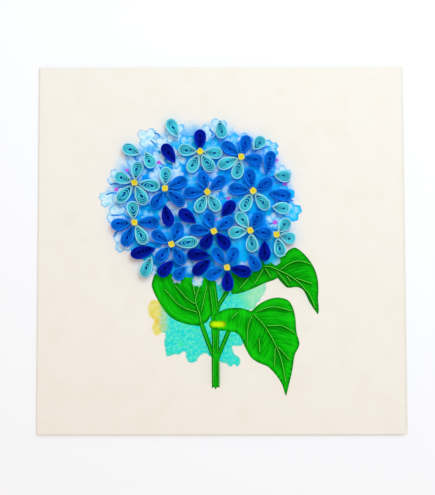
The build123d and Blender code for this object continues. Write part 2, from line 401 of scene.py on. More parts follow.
@dataclass(frozen=True)
class LeafInk(PrintedInk):
    """Leaf print: streaks beside the side veins and dark green at the rim. The dark green along the veins
    is partly print and partly painted shade where the standing strips cast their shadow.

    The mesh carries edge, vein, lane and run in millimetres, curl, which is 1 in the light on the
    leaf's rolled end, and depth, how much darker than the others a leaf is printed.
    """

    dark: Colour = ink(0, 96, 4)
    light: Colour = ink(18, 214, 14)
    curl: Colour = ink(216, 255, 0)
    streaks: Grain = Grain(1.1, 3.0, (1, 0.16, 1))
    fine_streaks: Grain = Grain(0.55, 2.0, (1, 0.12, 1))
    fine_share: float = 0.35
    streaked: Ramp = Ramp(0.5, 0.82)
    off_vein: Ramp = Ramp(0.8, 2.6)
    lit: Ramp = Ramp(0.4, 0.7, 0.0, 0.8)
    band_starts: Ramp = Ramp(0.6, 1.5)
    band_ends: Ramp = Ramp(1.8, 3.8, 0.6, 0.0)
    vein_print_and_shade: Ramp = Ramp(0.15, 0.5, 0.85, 0.0)
    waver: Grain = Grain(0.9 * MM)
    waver_share: float = 0.7
    rim_line: Ramp = Ramp(0.5, 1.1, 0.62, 0.0)

    def pigment(self, bench: Bench) -> Socket:
        """Colour of the leaf: light between its veins and along a band inside its rim.

        Args:
            bench: The material that is laid out.

        Returns:
            The colour.
        """
        edge, vein = bench.value_of("edge"), bench.value_of("vein")
        place = bench.lanes(bench.value_of("lane"), bench.value_of("run"))
        streaks = bench.cloudy(self.streaks, place)
        tone = bench.sum_of(streaks, bench.cloudy(self.fine_streaks, place), self.fine_share)
        open_leaf = bench.product(bench.ranged(vein, self.off_vein), bench.ranged(streaks, self.lit))
        band = bench.product(bench.ranged(edge, self.band_starts), bench.ranged(edge, self.band_ends))
        wavering = bench.sum_of(edge, bench.cloudy(self.waver), self.waver_share)
        return bench.layered(
            self.inner, (bench.ranged(tone, self.streaked), self.outer),
            (open_leaf, self.light), (band, self.light), (bench.value_of("depth"), self.dark),
            # dark along each vein or stem strip: print, and painted shade at the strip's foot
            (bench.ranged(vein, self.vein_print_and_shade), self.dark),
            (bench.ranged(wavering, self.rim_line), self.dark), (bench.value_of("curl"), self.curl))

    def cover(self, bench: Bench) -> Socket | float:
        """The print is full up to its rim."""
        return 1.0


@dataclass(frozen=True)
class WashInk(PrintedInk):
    """Thin wash, granular, with a wavy rim where its pigment gathers.

    The mesh carries edge, in millimetres, and rim, which is 1 where the wash was watered down.
    """

    detail: float = 4.0
    third: Colour = ink(66, 238, 176)
    rim_tone: Colour = ink(62, 218, 200)
    watered: Colour = ink(142, 238, 184)
    grains: Grain = Grain(0.6 * MM, 1.0)
    grain_share: float = 0.75
    grained: Ramp = Ramp(0.72, 1.05)
    pools: Grain = Grain(3.6 * MM, 3.0)
    pooled: Ramp = Ramp(0.52, 0.72)
    thin_clouds: Grain = Grain(3.2 * MM, 3.0)
    thin_share: float = 0.6
    thinned: Ramp = Ramp(0.6, 1.4)
    bared: Ramp = Ramp(1.1, 1.55, 1.0, 0.45)
    rim_line: Ramp = Ramp(0.7, 1.6, 0.6, 0.0)
    wander: Grain = Grain(2.4 * MM, 3.0)
    wander_share: float = 2.0
    rim_fades: Ramp = Ramp(1.0, 1.75)

    def pigment(self, bench: Bench) -> Socket:
        """Colour of the wash, with grains where the paper's tooth holds more of it.

        Args:
            bench: The material that is laid out.

        Returns:
            The colour.
        """
        tone = bench.sum_of(self.clouds(bench), bench.cloudy(self.grains), self.grain_share)
        return bench.layered(
            self.inner, (bench.ranged(tone, self.grained), self.outer),
            (bench.ranged(bench.cloudy(self.pools), self.pooled), self.third),
            (bench.ranged(self.thinness(bench), self.thinned), self.watered),
            (bench.ranged(bench.value_of("edge"), self.rim_line), self.rim_tone))

    def thinness(self, bench: Bench) -> Socket:
        """How watered down the wash is, in clouds: about 0.3 where it is full and 1.3 at most."""
        return bench.sum_of(bench.value_of("rim"), bench.cloudy(self.thin_clouds), self.thin_share)

    def cover(self, bench: Bench) -> Socket | float:
        """The wash's rim wanders with the paper and fades, and card shows where it is thin.

        Args:
            bench: The material that is laid out.

        Returns:
            Share of the card that the wash hides.
        """
        edge = bench.sum_of(bench.value_of("edge"), bench.cloudy(self.wander), self.wander_share)
        return bench.product(bench.ranged(edge, self.rim_fades),
                             bench.ranged(self.thinness(bench), self.bared))


@dataclass(frozen=True)
class MingleInk(WashInk):
    """Print where one wash runs into another: run is 0 in the first and 1 in the second."""

    first: WashInk = field(kw_only=True)
    second: WashInk = field(kw_only=True)
    detail: float = 3.0
    toned: Ramp = Ramp(0.42, 0.62)
    leaves_first: Ramp = Ramp(0.3, 0.6)
    meets_second: Ramp = Ramp(0.68, 1.18)

    def pigment(self, bench: Bench) -> Socket:
        """Colour of the mingled print, from the first wash through a pale tone into the second.

        Args:
            bench: The material that is laid out.

        Returns:
            The colour.
        """
        clouds = self.clouds(bench)
        drift = bench.sum_of(bench.value_of("run"), clouds, self.cloud_share)
        middle = bench.layered(self.inner, (bench.ranged(clouds, self.toned), self.outer))
        return bench.layered(
            self.first.pigment(bench), (bench.ranged(drift, self.leaves_first), middle),
            (bench.ranged(drift, self.meets_second), self.second.pigment(bench)))


@dataclass(frozen=True)
class GroundInk(PrintedInk):
    """Azure that shows between the florets, paler towards the rim of the bloom.

    The mesh carries reach, which is 0 in the bloom's middle and 1 at its rim.
    """

    pale: Colour = ink(150, 214, 250)
    glow: Colour = ink(206, 236, 250)
    toned: Ramp = Ramp(0.42, 0.62)
    drift: Grain = Grain(2.6 * MM, 2.0)
    drift_share: float = 0.28
    paled: Ramp = Ramp(0.84, 1.02)
    glowing: Ramp = Ramp(0.98, 1.1)
    lobes: Grain = Grain(3.4 * MM, 3.0)
    lobe_share: float = 0.22
    rim_fades: Ramp = Ramp(0.96, 1.1, 1.0, 0.0)

    def pigment(self, bench: Bench) -> Socket:
        """Colour of the ground, which drifts from azure to pale.

        Args:
            bench: The material that is laid out.

        Returns:
            The colour.
        """
        outwards = bench.sum_of(bench.value_of("reach"), bench.cloudy(self.drift), self.drift_share)
        return bench.layered(
            self.inner, (bench.ranged(self.clouds(bench), self.toned), self.outer),
            (bench.ranged(outwards, self.paled), self.pale),
            (bench.ranged(outwards, self.glowing), self.glow))

    def cover(self, bench: Bench) -> Socket | float:
        """The ground fades out in wandering lobes."""
        outwards = bench.sum_of(bench.value_of("reach"), bench.cloudy(self.lobes), self.lobe_share)
        return bench.ranged(outwards, self.rim_fades)


@dataclass(frozen=True)
class FloretInk(PrintedInk):
    """Small printed florets, from white to sky blue, with a bluer throat and rim.

    The mesh carries shade, which is 0 in a white floret and 1 in a blue one.
    """

    detail: float = 2.0
    sky: Colour = ink(20, 206, 255)
    line: Colour = ink(30, 158, 232)
    toned: Ramp = Ramp(0.4, 0.65)
    rim_clouds: float = 0.4
    blue_rim: Ramp = Ramp(0.75, 1.2)
    rim_share: float = 0.5
    throat: Ramp = Ramp(0.0, 0.4, 0.7, 0.0)
    shaded: Ramp = Ramp(0.1, 1.1)
    outlined: Ramp = Ramp(0.74, 1.0, 0.0, 0.5)

    def pigment(self, bench: Bench) -> Socket:
        """Colour of a floret's petal.

        Args:
            bench: The material that is laid out.

        Returns:
            The colour.
        """
        rim, clouds = bench.value_of("rim"), self.clouds(bench)
        blue_rim = bench.ranged(bench.sum_of(rim, clouds, self.rim_clouds), self.blue_rim)
        shaded = bench.sum_of(bench.value_of("shade"), blue_rim, self.rim_share)
        shaded = bench.sum_of(shaded, bench.ranged(rim, self.throat))
        return bench.layered(
            self.inner, (bench.ranged(clouds, self.toned), self.outer),
            (bench.ranged(shaded, self.shaded), self.sky),
            (bench.ranged(rim, self.outlined), self.line))


class StripPart(IntEnum):
    """What shows of a strip, by its material's place: its side, a loose or a glued cut edge."""

    SIDE = 0
    ROLL_EDGE = 1
    RING_EDGE = 2


@dataclass(frozen=True)
class StripPaper:
    """Dyed quilling strip: its flat side, and the cut edge that shows from above.

    Its cut edges are painted lighter than its side: a painted highlight where the light falls on the
    strip's top and not into the gaps between turns. The glued ring's edge is painted lighter still. The
    mesh carries batch, from 0 to 1, by which one strip differs a little from the next.
    """

    name: str
    slot: str
    side: Colour
    roll_edge: Colour
    ring_edge: Colour
    fleck: float = 0.045
    gloss: float = 0.05
    fibres: Grain = Grain(0.22 * MM, 3.0, (1, 1, 0.3))
    fibre_depth: float = 0.012 * MM
    batch_share: float = 0.5
    flecked: Ramp = Ramp(0.35, 1.1)
    matt: Ramp = Ramp(0.3, 0.7, 0.6, 0.78)

    def _sheet(self, part: StripPart, tone: Colour) -> bpy.types.Material:
        """Builds one surface of the strip, mottled a little from petal to petal and along it.

        Args:
            part: Which surface it is.
            tone: Its colour.

        Returns:
            The material.
        """
        bench = Bench(f"{self.name}_{part.name.lower()}", self.gloss)
        deep = tuple(channel * (1 - 2 * self.fleck) for channel in tone[:3]) + (1.0,)
        pale = tuple(min(1.0, channel * (1 + self.fleck)) for channel in tone[:3]) + (1.0,)
        fibres = bench.cloudy(self.fibres)
        batch = bench.sum_of(fibres, bench.value_of("batch"), self.batch_share)
        colour = bench.layered(deep, (bench.ranged(batch, self.flecked), pale))
        return bench.done(colour, bench.ranged(fibres, self.matt), fibres, self.fibre_depth)

    def materials(self) -> list[bpy.types.Material]:
        """The strip's materials, in the order of its parts."""
        tones = (self.side, self.roll_edge, self.ring_edge)
        return [self._sheet(part, tone) for part, tone in zip(StripPart, tones)]


class Shade(Enum):
    """The papers that the petals are rolled from, each by the colour in its nodes' names."""

    # Side, roll edge and ring edge of one paper: the edges carry a painted highlight, lighter than the
    # side
    pale = StripPaper("pale_paper", "pale_paper", ink(0, 180, 255), ink(82, 236, 255), ink(154, 242, 255))
    blue = StripPaper("blue_paper", "blue_paper", ink(0, 94, 255), ink(0, 126, 255), ink(14, 140, 255))
    navy = StripPaper("navy_paper", "navy_paper", ink(0, 14, 176), ink(0, 32, 186), ink(0, 38, 200))


# Reading the frame


@dataclass
class Solid:
    """One separate solid of a node in the frame, by its corners and its flat faces."""

    points: np.ndarray
    faces: Faces

    def middle(self) -> np.ndarray:
        """Middle of the area that the solid covers in plan.

        Returns:
            The middle.
        """
        outline = self.top_outline()
        following = np.roll(outline, -1, axis=0)
        cross = outline[:, 0] * following[:, 1] - following[:, 0] * outline[:, 1]
        return ((outline + following) * cross[:, None]).sum(axis=0) / (3 * cross.sum())

    def top_outline(self) -> np.ndarray:
        """Outline of the solid's top, in plan, going round once.

        Returns:
            The outline's corners.
        """
        height = self.points[:, 2].max()
        flat = [face for face in self.faces if all(height - self.points[i][2] < WELD for i in face)]
        following = dict(open_sides(flat))
        loops = []
        while following:
            loop = [next(iter(following))]
            while loop[-1] in following:
                loop.append(following.pop(loop[-1]))
            loops.append(self.points[loop[:-1], :2])
        return max(loops, key=lambda loop: float(np.ptp(loop, axis=0).sum()))

    def middle_line(self) -> np.ndarray:
        """Middle line in plan of a strip on edge, from one of its ends to the other.

        Returns:
            The line's corners.
        """
        outline = self.top_outline()
        runs = np.linalg.norm(np.roll(outline, -1, axis=0) - outline, axis=1)
        first, second = sorted(int(index) for index in np.argsort(runs)[:2])
        left = outline[first + 1:second + 1]
        right = np.roll(outline, -(second + 1), axis=0)[:len(outline) - len(left)]
        return (left + right[::-1]) / 2


def open_sides(faces: Faces) -> list[tuple[int, int]]:
    """Finds the sides of faces that no other face shares.

    Args:
        faces: The faces, all seen from the same side.

    Returns:
        Each such side by the points where it starts and ends.
    """
    sides = {(face[i], face[(i + 1) % len(face)]) for face in faces for i in range(len(face))}
    return [(start, end) for start, end in sides if (end, start) not in sides]


def solids_of(node: str) -> list[Solid]:
    """Finds the separate solids of a CAD node.

    Args:
        node: The node's name.

    Returns:
        Its solids, in the order that they first come in its mesh.
    """
    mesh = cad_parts[node].data
    places = np.array([vertex.co for vertex in mesh.vertices])
    points, welded = np.unique(np.round(places / WELD), axis=0, return_inverse=True)
    welded = welded.ravel()
    leader = list(range(len(points)))

    def lead(point: int) -> int:
        """Follows a point to the one that stands for its solid.

        Args:
            point: The point's row.

        Returns:
            The row of the one that stands for its solid.
        """
        while leader[point] != point:
            leader[point] = leader[leader[point]]
            point = leader[point]
        return point

    faces = [[int(welded[corner]) for corner in polygon.vertices] for polygon in mesh.polygons]
    for face in faces:
        for corner in face[1:]:
            leader[lead(corner)] = lead(face[0])
    groups: dict[int, Faces] = {}
    for face in faces:
        groups.setdefault(lead(face[0]), []).append(face)
    solids = []
    for group in groups.values():
        used = sorted({corner for face in group for corner in face})
        row = {corner: index for index, corner in enumerate(used)}
        solids.append(Solid(points[used] * WELD, [[row[corner] for corner in face] for face in group]))
    return solids


def nodes_named(start: str, end: str = "") -> list[str]:
    """Names of the CAD nodes that start and end with these words, in order."""
    return [name for name in sorted(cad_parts) if name.startswith(start) and name.endswith(end)]


@dataclass(frozen=True)
class BloomOval:
    """The oval that the bloom's printed ground fills in the frame."""

    middle: np.ndarray
    half: np.ndarray

    @classmethod
    def read(cls) -> "BloomOval":
        """Reads the oval from the ground's box."""
        low, high = (np.array(corner[:2]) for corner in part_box("print_florets"))
        return cls((low + high) / 2, (high - low) / 2)

    def reach_of(self, points: np.ndarray) -> np.ndarray:
        """How far out points lie, 1 on the oval."""
        return np.linalg.norm((points - self.middle) / self.half, axis=1)

    def at(self, bearing: np.ndarray | float, reach: np.ndarray | float) -> np.ndarray:
        """Places in the bloom, by their bearings in radians and how far out they lie."""
        return self.middle + self.half * np.asarray(reach)[..., None] * ways(bearing)


# Plane shapes


def step(value: np.ndarray | float, low: float, high: float) -> np.ndarray:
    """Rises smoothly from 0 at low to 1 at high."""
    share = np.clip((value - low) / (high - low), 0, 1)
    return share * share * (3 - 2 * share)


def bearings_round(count: int) -> np.ndarray:
    """Bearings of points that go evenly round a circle, in radians."""
    return np.arange(count) / count * WHOLE_TURN


def ways(bearings: np.ndarray | float) -> np.ndarray:
    """Steps of length 1 in plan, one at each bearing."""
    return np.stack([np.cos(bearings), np.sin(bearings)], axis=-1)


def turned(plan: np.ndarray, angle: float) -> np.ndarray:
    """Turns points in plan about the origin, against the clock."""
    cosine, sine = math.cos(angle), math.sin(angle)
    return plan @ np.array([[cosine, sine], [-sine, cosine]])


def closed(outline: np.ndarray) -> np.ndarray:
    """An outline as a line that ends where it starts."""
    return np.vstack([outline, outline[:1]])


def left_of(line: np.ndarray) -> np.ndarray:
    """Steps of length 1 to the left of a line, one at each of its points.

    Args:
        line: The line's points.

    Returns:
        The steps.
    """
    along = np.gradient(line, axis=0)
    along /= np.maximum(np.linalg.norm(along, axis=1), TINY)[:, None]
    return np.stack([-along[:, 1], along[:, 0]], axis=1)


def disc_faces(count: int, rings: int = 1) -> Faces:
    """Joins a middle point and the rings of points round it.

    Args:
        count: How many points a ring has.
        rings: How many rings there are, from the middle outwards.

    Returns:
        The faces. The middle point is row 0.
    """
    faces = [[0, 1 + here, 1 + (here + 1) % count] for here in range(count)]
    for inner in range(1, 1 + (rings - 1) * count, count):
        outer = inner + count
        faces += [[inner + here, outer + here, outer + (here + 1) % count, inner + (here + 1) % count]
                  for here in range(count)]
    return faces


def soften(outline: np.ndarray, rounds: int = 3, corner: float = 62.0, cut: float = 0.25,
           hidden: np.ndarray | bool = False) -> np.ndarray:
    """Rounds the shallow corners of a closed outline and keeps its points.

    Args:
        outline: The outline's corners, going round once.
        rounds: How often the corners are cut.
        corner: Corners that turn by more than this many degrees are kept.
        cut: Share of each side that a cut takes off at a corner.
        hidden: For each corner, whether it is out of sight and kept as well.

    Returns:
        The softened outline.
    """
    before, after = np.roll(outline, 1, axis=0), np.roll(outline, -1, axis=0)
    turn = np.angle(np.exp(1j * (np.arctan2(*(after - outline).T[::-1])
                                 - np.arctan2(*(outline - before).T[::-1]))))
    kept = (np.abs(turn) > math.radians(corner)) | hidden
    for _ in range(rounds):
        points, flags = [], []
        for index, point in enumerate(outline):
            if kept[index]:
                points.append(point)
                flags.append(True)
                continue
            for neighbour in (outline[index - 1], outline[(index + 1) % len(outline)]):
                points.append((1 - cut) * point + cut * neighbour)
                flags.append(False)
        outline, kept = np.array(points), flags
    return outline


def spread(outline: np.ndarray, distance: np.ndarray | float) -> np.ndarray:
    """Moves a closed outline outwards, by its corners' own directions.

    Args:
        outline: The outline's corners, going round once.
        distance: How far they move, for each corner or for all.

    Returns:
        The wider outline.
    """
    along = np.roll(outline, -1, axis=0) - np.roll(outline, 1, axis=0)
    along /= np.maximum(np.linalg.norm(along, axis=1), TINY)[:, None]
    following = np.roll(outline, -1, axis=0)
    area = (outline[:, 0] * following[:, 1] - following[:, 0] * outline[:, 1]).sum()
    outwards = np.stack([along[:, 1], -along[:, 0]], axis=1) * math.copysign(1, area)
    return outline + distance * outwards


def smooth_line(points: np.ndarray, spacing: float) -> np.ndarray:
    """Draws a smooth line through points, as a bent strip lies.

    Args:
        points: The points that it passes through.
        spacing: About how far apart the new points are.

    Returns:
        The line's points.
    """
    padded = np.vstack([2 * points[0] - points[1], points, 2 * points[-1] - points[-2]])
    line = []
    for first, start, end, last in zip(padded, padded[1:], padded[2:], padded[3:]):
        count = max(2, round(float(np.linalg.norm(end - start)) / spacing))
        for part in np.arange(count) / count:
            square, cube = part ** 2, part ** 3
            line.append(0.5 * (2 * start + (end - first) * part
                               + (2 * first - 5 * start + 4 * end - last) * square
                               + (3 * start - first - 3 * end + last) * cube))
    return np.array(line + [points[-1]])


def nearest(points: np.ndarray, line: np.ndarray) -> tuple[np.ndarray, np.ndarray]:
    """Measures points against a line of straight runs.

    Args:
        points: The points to measure.
        line: The line's corners.

    Returns:
        Each point's distance from the line, and how far along the line its nearest place is.
    """
    best = np.full(len(points), np.inf)
    along = np.zeros(len(points))
    gone = 0.0
    for start, end in zip(line, line[1:]):
        run = end - start
        length = float(np.linalg.norm(run))
        share = np.clip(((points - start) @ run) / max(length ** 2, TINY ** 2), 0, 1)
        distance = np.linalg.norm(points - start - share[:, None] * run, axis=1)
        closer = distance < best
        best[closer] = distance[closer]
        along[closer] = gone + share[closer] * length
        gone += length
    return best, along


def inside(points: np.ndarray, outline: np.ndarray) -> np.ndarray:
    """Says which points lie inside a closed outline.

    Args:
        points: The points.
        outline: The outline's corners.

    Returns:
        For each point, whether it lies inside.
    """
    found = np.zeros(len(points), bool)
    for (x0, y0), (x1, y1) in zip(outline, np.roll(outline, -1, axis=0)):
        if y0 == y1:
            continue
        between = (y0 > points[:, 1]) != (y1 > points[:, 1])
        found ^= between & (points[:, 0] < (x1 - x0) * (points[:, 1] - y0) / (y1 - y0) + x0)
    return found


def carried_on(line: np.ndarray, reach: float) -> np.ndarray:
    """Carries both ends of a line straight on.

    Args:
        line: The line's points.
        reach: How far each end is carried.

    Returns:
        The longer line.
    """
    before, beyond = line[0] - line[1], line[-1] - line[-2]
    return np.vstack([line[0] + before / np.linalg.norm(before) * reach, line,
                      line[-1] + beyond / np.linalg.norm(beyond) * reach])


# Meshes


def linked(name: str, data: bpy.types.ID) -> bpy.types.Object:
    """Makes an object of a mesh, a lamp or a camera and links it to the scene.

    Args:
        name: The object's name.
        data: Its mesh, lamp or camera.

    Returns:
        The object.
    """
    made = bpy.data.objects.new(name, data)
    bpy.context.scene.collection.objects.link(made)
    return made


def stand_in(name: str, mesh: bpy.types.Mesh, node: str) -> None:
    """Makes a piece that rides on the card in a CAD node's place.

    Args:
        name: The piece's name.
        mesh: Its mesh, with its materials.
        node: The node that it stands for.
    """
    made = linked(name, mesh)
    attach(made, BODY)
    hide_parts(node)
    log.info("%s: %d faces", name, len(mesh.polygons))


def smooth_shaded(mesh: bpy.types.Mesh, crease: float) -> None:
    """Shades a mesh smooth, but for edges that bend by more than crease, in degrees."""
    mesh.polygons.foreach_set("use_smooth", [True] * len(mesh.polygons))
    mesh.set_sharp_from_angle(angle=math.radians(crease))


class Draft:
    """Points and faces of one piece while it is built."""

    def __init__(self) -> None:
        """Starts an empty piece."""
        self.points: list[np.ndarray] = []
        self.faces: Faces = []
        self.slots: list[int] = []
        self.values: dict[str, list[np.ndarray]] = {}
        self.count = 0

    def add(self, points: np.ndarray, faces: Faces, slots: list[int], values: Values) -> None:
        """Adds points, the faces between them and a value of each kind for each point.

        Args:
            points: One row for each point.
            faces: The faces between these points alone.
            slots: Each face's place in the piece's list of materials.
            values: What the material reads.
        """
        self.faces.extend([[corner + self.count for corner in face] for face in faces])
        self.slots.extend(slots)
        self.points.append(points)
        for name, value in values.items():
            self.values.setdefault(name, []).append(np.broadcast_to(value, len(points)))
        self.count += len(points)

    def piece(self, name: str, materials: list[bpy.types.Material], node: str,
              crease: float | None = 40.0) -> None:
        """Makes the piece and puts it in a CAD node's place.

        Args:
            name: The piece's name.
            materials: Its materials, in the order of their places.
            node: The node that it stands for.
            crease: Edges sharper than this many degrees stay sharp, or None for a flat sheet.
        """
        mesh = bpy.data.meshes.new(name)
        mesh.from_pydata(np.concatenate(self.points).tolist(), [], self.faces)
        for material in materials:
            mesh.materials.append(material)
        mesh.polygons.foreach_set("material_index", self.slots)
        for kind, rows in self.values.items():
            attribute = mesh.attributes.new(kind, "FLOAT", "POINT")
            attribute.data.foreach_set("value", np.concatenate(rows).astype(np.float32))
        if crease is not None:
            smooth_shaded(mesh, crease)
        mesh.update()
        stand_in(name, mesh, node)


def add_skin(draft: Draft, plan: np.ndarray, faces: Faces, top: np.ndarray | float, foot: float,
             values: Values) -> None:
    """Adds a thin closed sheet to a draft.

    Args:
        draft: The piece that it belongs to.
        plan: The sheet's points in plan.
        faces: The faces of its upper side.
        top: Height of its upper side, for each point or for all.
        foot: Height of its flat under side.
        values: What the material reads, for each point of the plan or for all.
    """
    count = len(plan)
    upper = np.column_stack([plan, np.broadcast_to(top, count)])
    lower = np.column_stack([plan, np.full(count, foot)])
    facing = []
    for face in faces:
        (ax, ay), (bx, by), (cx, cy) = plan[face[0]], plan[face[1]], plan[face[2]]
        clockwise = (bx - ax) * (cy - ay) - (by - ay) * (cx - ax) < 0
        facing.append(face[::-1] if clockwise else face)
    walls = [[start, start + count, end + count, end] for start, end in open_sides(facing)]
    under = [[corner + count for corner in reversed(face)] for face in facing]
    doubled = {name: np.tile(np.broadcast_to(value, count), 2) for name, value in values.items()}
    faces = facing + under + walls
    draft.add(np.vstack([upper, lower]), faces, [0] * len(faces), doubled)


@dataclass
class InkedField:
    """A printed field: a thin skin over an outline, with a soft shoulder at its rim."""

    outline: np.ndarray
    layer: Layer
    values: Callable[[np.ndarray], Values]
    rims: list[np.ndarray] | None = None
    lift: float = 0.0
    spacing: float = 0.45 * MM
    clear: float = 0.6
    tolerance: float = 1e-6
    shoulder: float = 0.6 * MM
    drop: float = 0.005

    def plan(self) -> tuple[np.ndarray, Faces]:
        """Fills the outline with points, which keep clear of it, and triangles.

        Returns:
            The points in plan and the triangles between them.
        """
        low, high = self.outline.min(axis=0), self.outline.max(axis=0)
        columns = np.arange(low[0], high[0], self.spacing)
        rows = np.arange(low[1], high[1], self.spacing * ROW_RISE)
        grid = np.array([(x + (index % 2) * self.spacing / 2, y)
                         for index, y in enumerate(rows) for x in columns])
        grid = grid[inside(grid, self.outline)]
        grid = grid[nearest(grid, closed(self.outline))[0] > self.clear * self.spacing]
        loose = [Vector(point / MM) for point in np.vstack([self.outline, grid])]
        count = len(self.outline)
        ring = [(index, (index + 1) % count) for index in range(count)]
        points, _, faces, *_ = delaunay_2d_cdt(loose, ring, [], WITHIN_RIM, self.tolerance)
        return np.array([tuple(point) for point in points]) * MM, [list(face) for face in faces]

    def lay(self, draft: Draft) -> None:
        """Adds the skin to a draft.

        Args:
            draft: The piece that it belongs to.
        """
        points, faces = self.plan()
        edge = np.full(len(points), FAR)
        for rim in [closed(self.outline)] if self.rims is None else self.rims:
            edge = np.minimum(edge, nearest(points, rim)[0])
        values = {"edge": edge / MM, "cover": 1.0} | self.values(points)
        rise = self.layer.value + self.lift - self.drop * (1 - step(edge, 0, self.shoulder))
        add_skin(draft, points, faces, CARD_TOP + rise * MM, CARD_TOP, values)


@dataclass
class PaperStrip:
    """A paper strip that stands on edge along a line in plan."""

    line: np.ndarray
    thickness: float | np.ndarray
    foot: float
    top: np.ndarray
    edge_parts: np.ndarray
    batch: float
    worn: float = 0.025 * MM

    def lay(self, draft: Draft) -> None:
        """Adds the strip to a draft: two sides, a cut edge with worn corners, and its foot.

        Args:
            draft: The piece that it belongs to.
        """
        count = len(self.line)
        left = left_of(self.line)
        half = np.broadcast_to(self.thickness, count)[:, None] / 2
        section = [(half, None), (half, -self.worn), (half - self.worn, 0),
                   (self.worn - half, 0), (-half, -self.worn), (-half, None)]
        cut_edge = slice(1, 4)
        points = np.zeros((count, len(section), 3))
        for place, (sideways, below) in enumerate(section):
            points[:, place, :2] = self.line + sideways * left
            points[:, place, 2] = self.foot if below is None else self.top + below
        sides = len(section)
        start = np.arange(count - 1)[:, None] * sides
        this, other = np.arange(sides)[None, :], (np.arange(sides) + 1)[None, :] % sides
        beyond = start + sides
        quads = np.stack([start + this, start + other, beyond + other, beyond + this], axis=2)
        parts = np.full((count - 1, sides), StripPart.SIDE)
        parts[:, cut_edge] = self.edge_parts[:-1, None]
        last = (count - 1) * sides
        ends = [list(range(sides))[::-1], list(range(last, last + sides))]
        draft.add(points.reshape(-1, 3), quads.reshape(-1, 4).tolist() + ends,
                  parts.ravel().tolist() + [StripPart.SIDE] * len(ends), {"batch": self.batch})


# The card


@dataclass
class FoldedCard:
    """The card: a front leaf, a round fold at the left and a back leaf that shows at the right."""

    stock: CardStock = CardStock()
    thickness: float = 0.35 * MM
    back_shows: float = 1.0 * MM
    fold_steps: int = 28
    cut_angle: float = 60.0
    worn_edge: float = 0.05 * MM
    worn_steps: int = 2
    crease: float = 30.0

    def section(self) -> list[Pair]:
        """Outline of the folded sheet in X and Z, seen along the fold.

        Returns:
            The outline's corners, going round once.
        """
        low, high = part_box("card")
        radius = (high.z - low.z) / 2
        steps = range(self.fold_steps + 1)
        angles = [math.pi / 2 + math.pi * index / self.fold_steps for index in steps]

        def arc(size: float, bearings: list[float]) -> list[Pair]:
            """Points round the fold's own axis."""
            return [(low.x + radius + size * math.cos(bearing), radius + size * math.sin(bearing))
                    for bearing in bearings]

        front = high.x - self.back_shows
        return ([(front, high.z)] + arc(radius, angles) + [(high.x, low.z), (high.x, self.thickness)]
                + arc(radius - self.thickness, angles[::-1]) + [(front, high.z - self.thickness)])

    def build(self) -> None:
        """Extrudes the section along the fold and wears its cut edges a little."""
        low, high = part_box("card")
        section = self.section()
        draft = bmesh.new()
        near, far = ([draft.verts.new((x, y, z)) for x, z in section] for y in (low.y, high.y))
        for index in range(len(section)):
            following = (index + 1) % len(section)
            draft.faces.new((near[index], far[index], far[following], near[following]))
        draft.faces.new(near)
        draft.faces.new(far[::-1])
        bmesh.ops.recalc_face_normals(draft, faces=draft.faces)
        cut = [edge for edge in draft.edges if edge.calc_face_angle(0) > math.radians(self.cut_angle)]
        bmesh.ops.bevel(draft, geom=cut, offset=self.worn_edge, segments=self.worn_steps,
                        affect="EDGES", clamp_overlap=True)
        bmesh.ops.triangulate(draft, faces=draft.faces)
        mesh = bpy.data.meshes.new("folded_card")
        draft.to_mesh(mesh)
        draft.free()
        smooth_shaded(mesh, self.crease)
        mesh.materials.append(self.stock.material())
        stand_in("folded_card", mesh, "card")


# The print


@dataclass(frozen=True)
class LeafCurl:
    """The lower leaf's rolled end, which lies over the stem and catches the light."""

    middle: Pair = (-1.5 * MM, -30.8 * MM)
    half: Pair = (3.6 * MM, 1.95 * MM)
    light: Pair = (2.5 * MM, 1.0 * MM)
    corners: int = 48
    roundness: float = 0.7
    rim_ends: Pair = (-0.5, 1.5)
    past_rim: float = 3.0
    past_vein: float = 3.0
    glow_falls: float = 0.8
    glow_power: float = 4.0

    def outline(self) -> np.ndarray:
        """Outline of the roll, an oval squared a little."""
        way = ways(bearings_round(self.corners))
        return self.middle + np.sign(way) * np.abs(way) ** self.roundness * self.half

    def values(self, points: np.ndarray) -> Values:
        """Light along the middle of the roll, and a rim at its outer end alone.

        Args:
            points: The roll's points in plan.

        Returns:
            What the leaf's ink reads.
        """
        x, y = (points - self.middle).T / MM
        rim = nearest(points, closed(self.outline()))[0] / MM
        off = np.abs((points - self.middle) / self.light) ** self.glow_power
        return {"edge": rim + self.past_rim * step(x, *self.rim_ends), "vein": self.past_vein,
                "lane": y, "run": x, "curl": np.exp(-self.glow_falls * off.sum(axis=1))}


@dataclass(frozen=True)
class Mingling:
    """Oval over the place where the yellow patches run into the wash."""

    middle: Pair = (-22.9 * MM, -27.8 * MM)
    half: Pair = (4.3 * MM, 6.4 * MM)
    across: Pair = (-27.4 * MM, -19.0 * MM)
    meets_wash: Pair = (-24.4 * MM, -23.2 * MM)
    rim: Pair = (0.7, 1.0)
    corners: int = 40

    def outline(self) -> np.ndarray:
        """Outline of the oval."""
        return self.middle + ways(bearings_round(self.corners)) * self.half

    def values(self, points: np.ndarray) -> Values:
        """How far the print has run into the wash: all the way at the rim that lies on the wash.

        Args:
            points: The print's points in plan.

        Returns:
            What the mingled ink reads.
        """
        x, out = points[:, 0], np.linalg.norm((points - self.middle) / self.half, axis=1)
        at_rim = step(out, *self.rim) * step(x, *self.meets_wash)
        return {"run": np.maximum(step(x, *self.across), at_rim)}


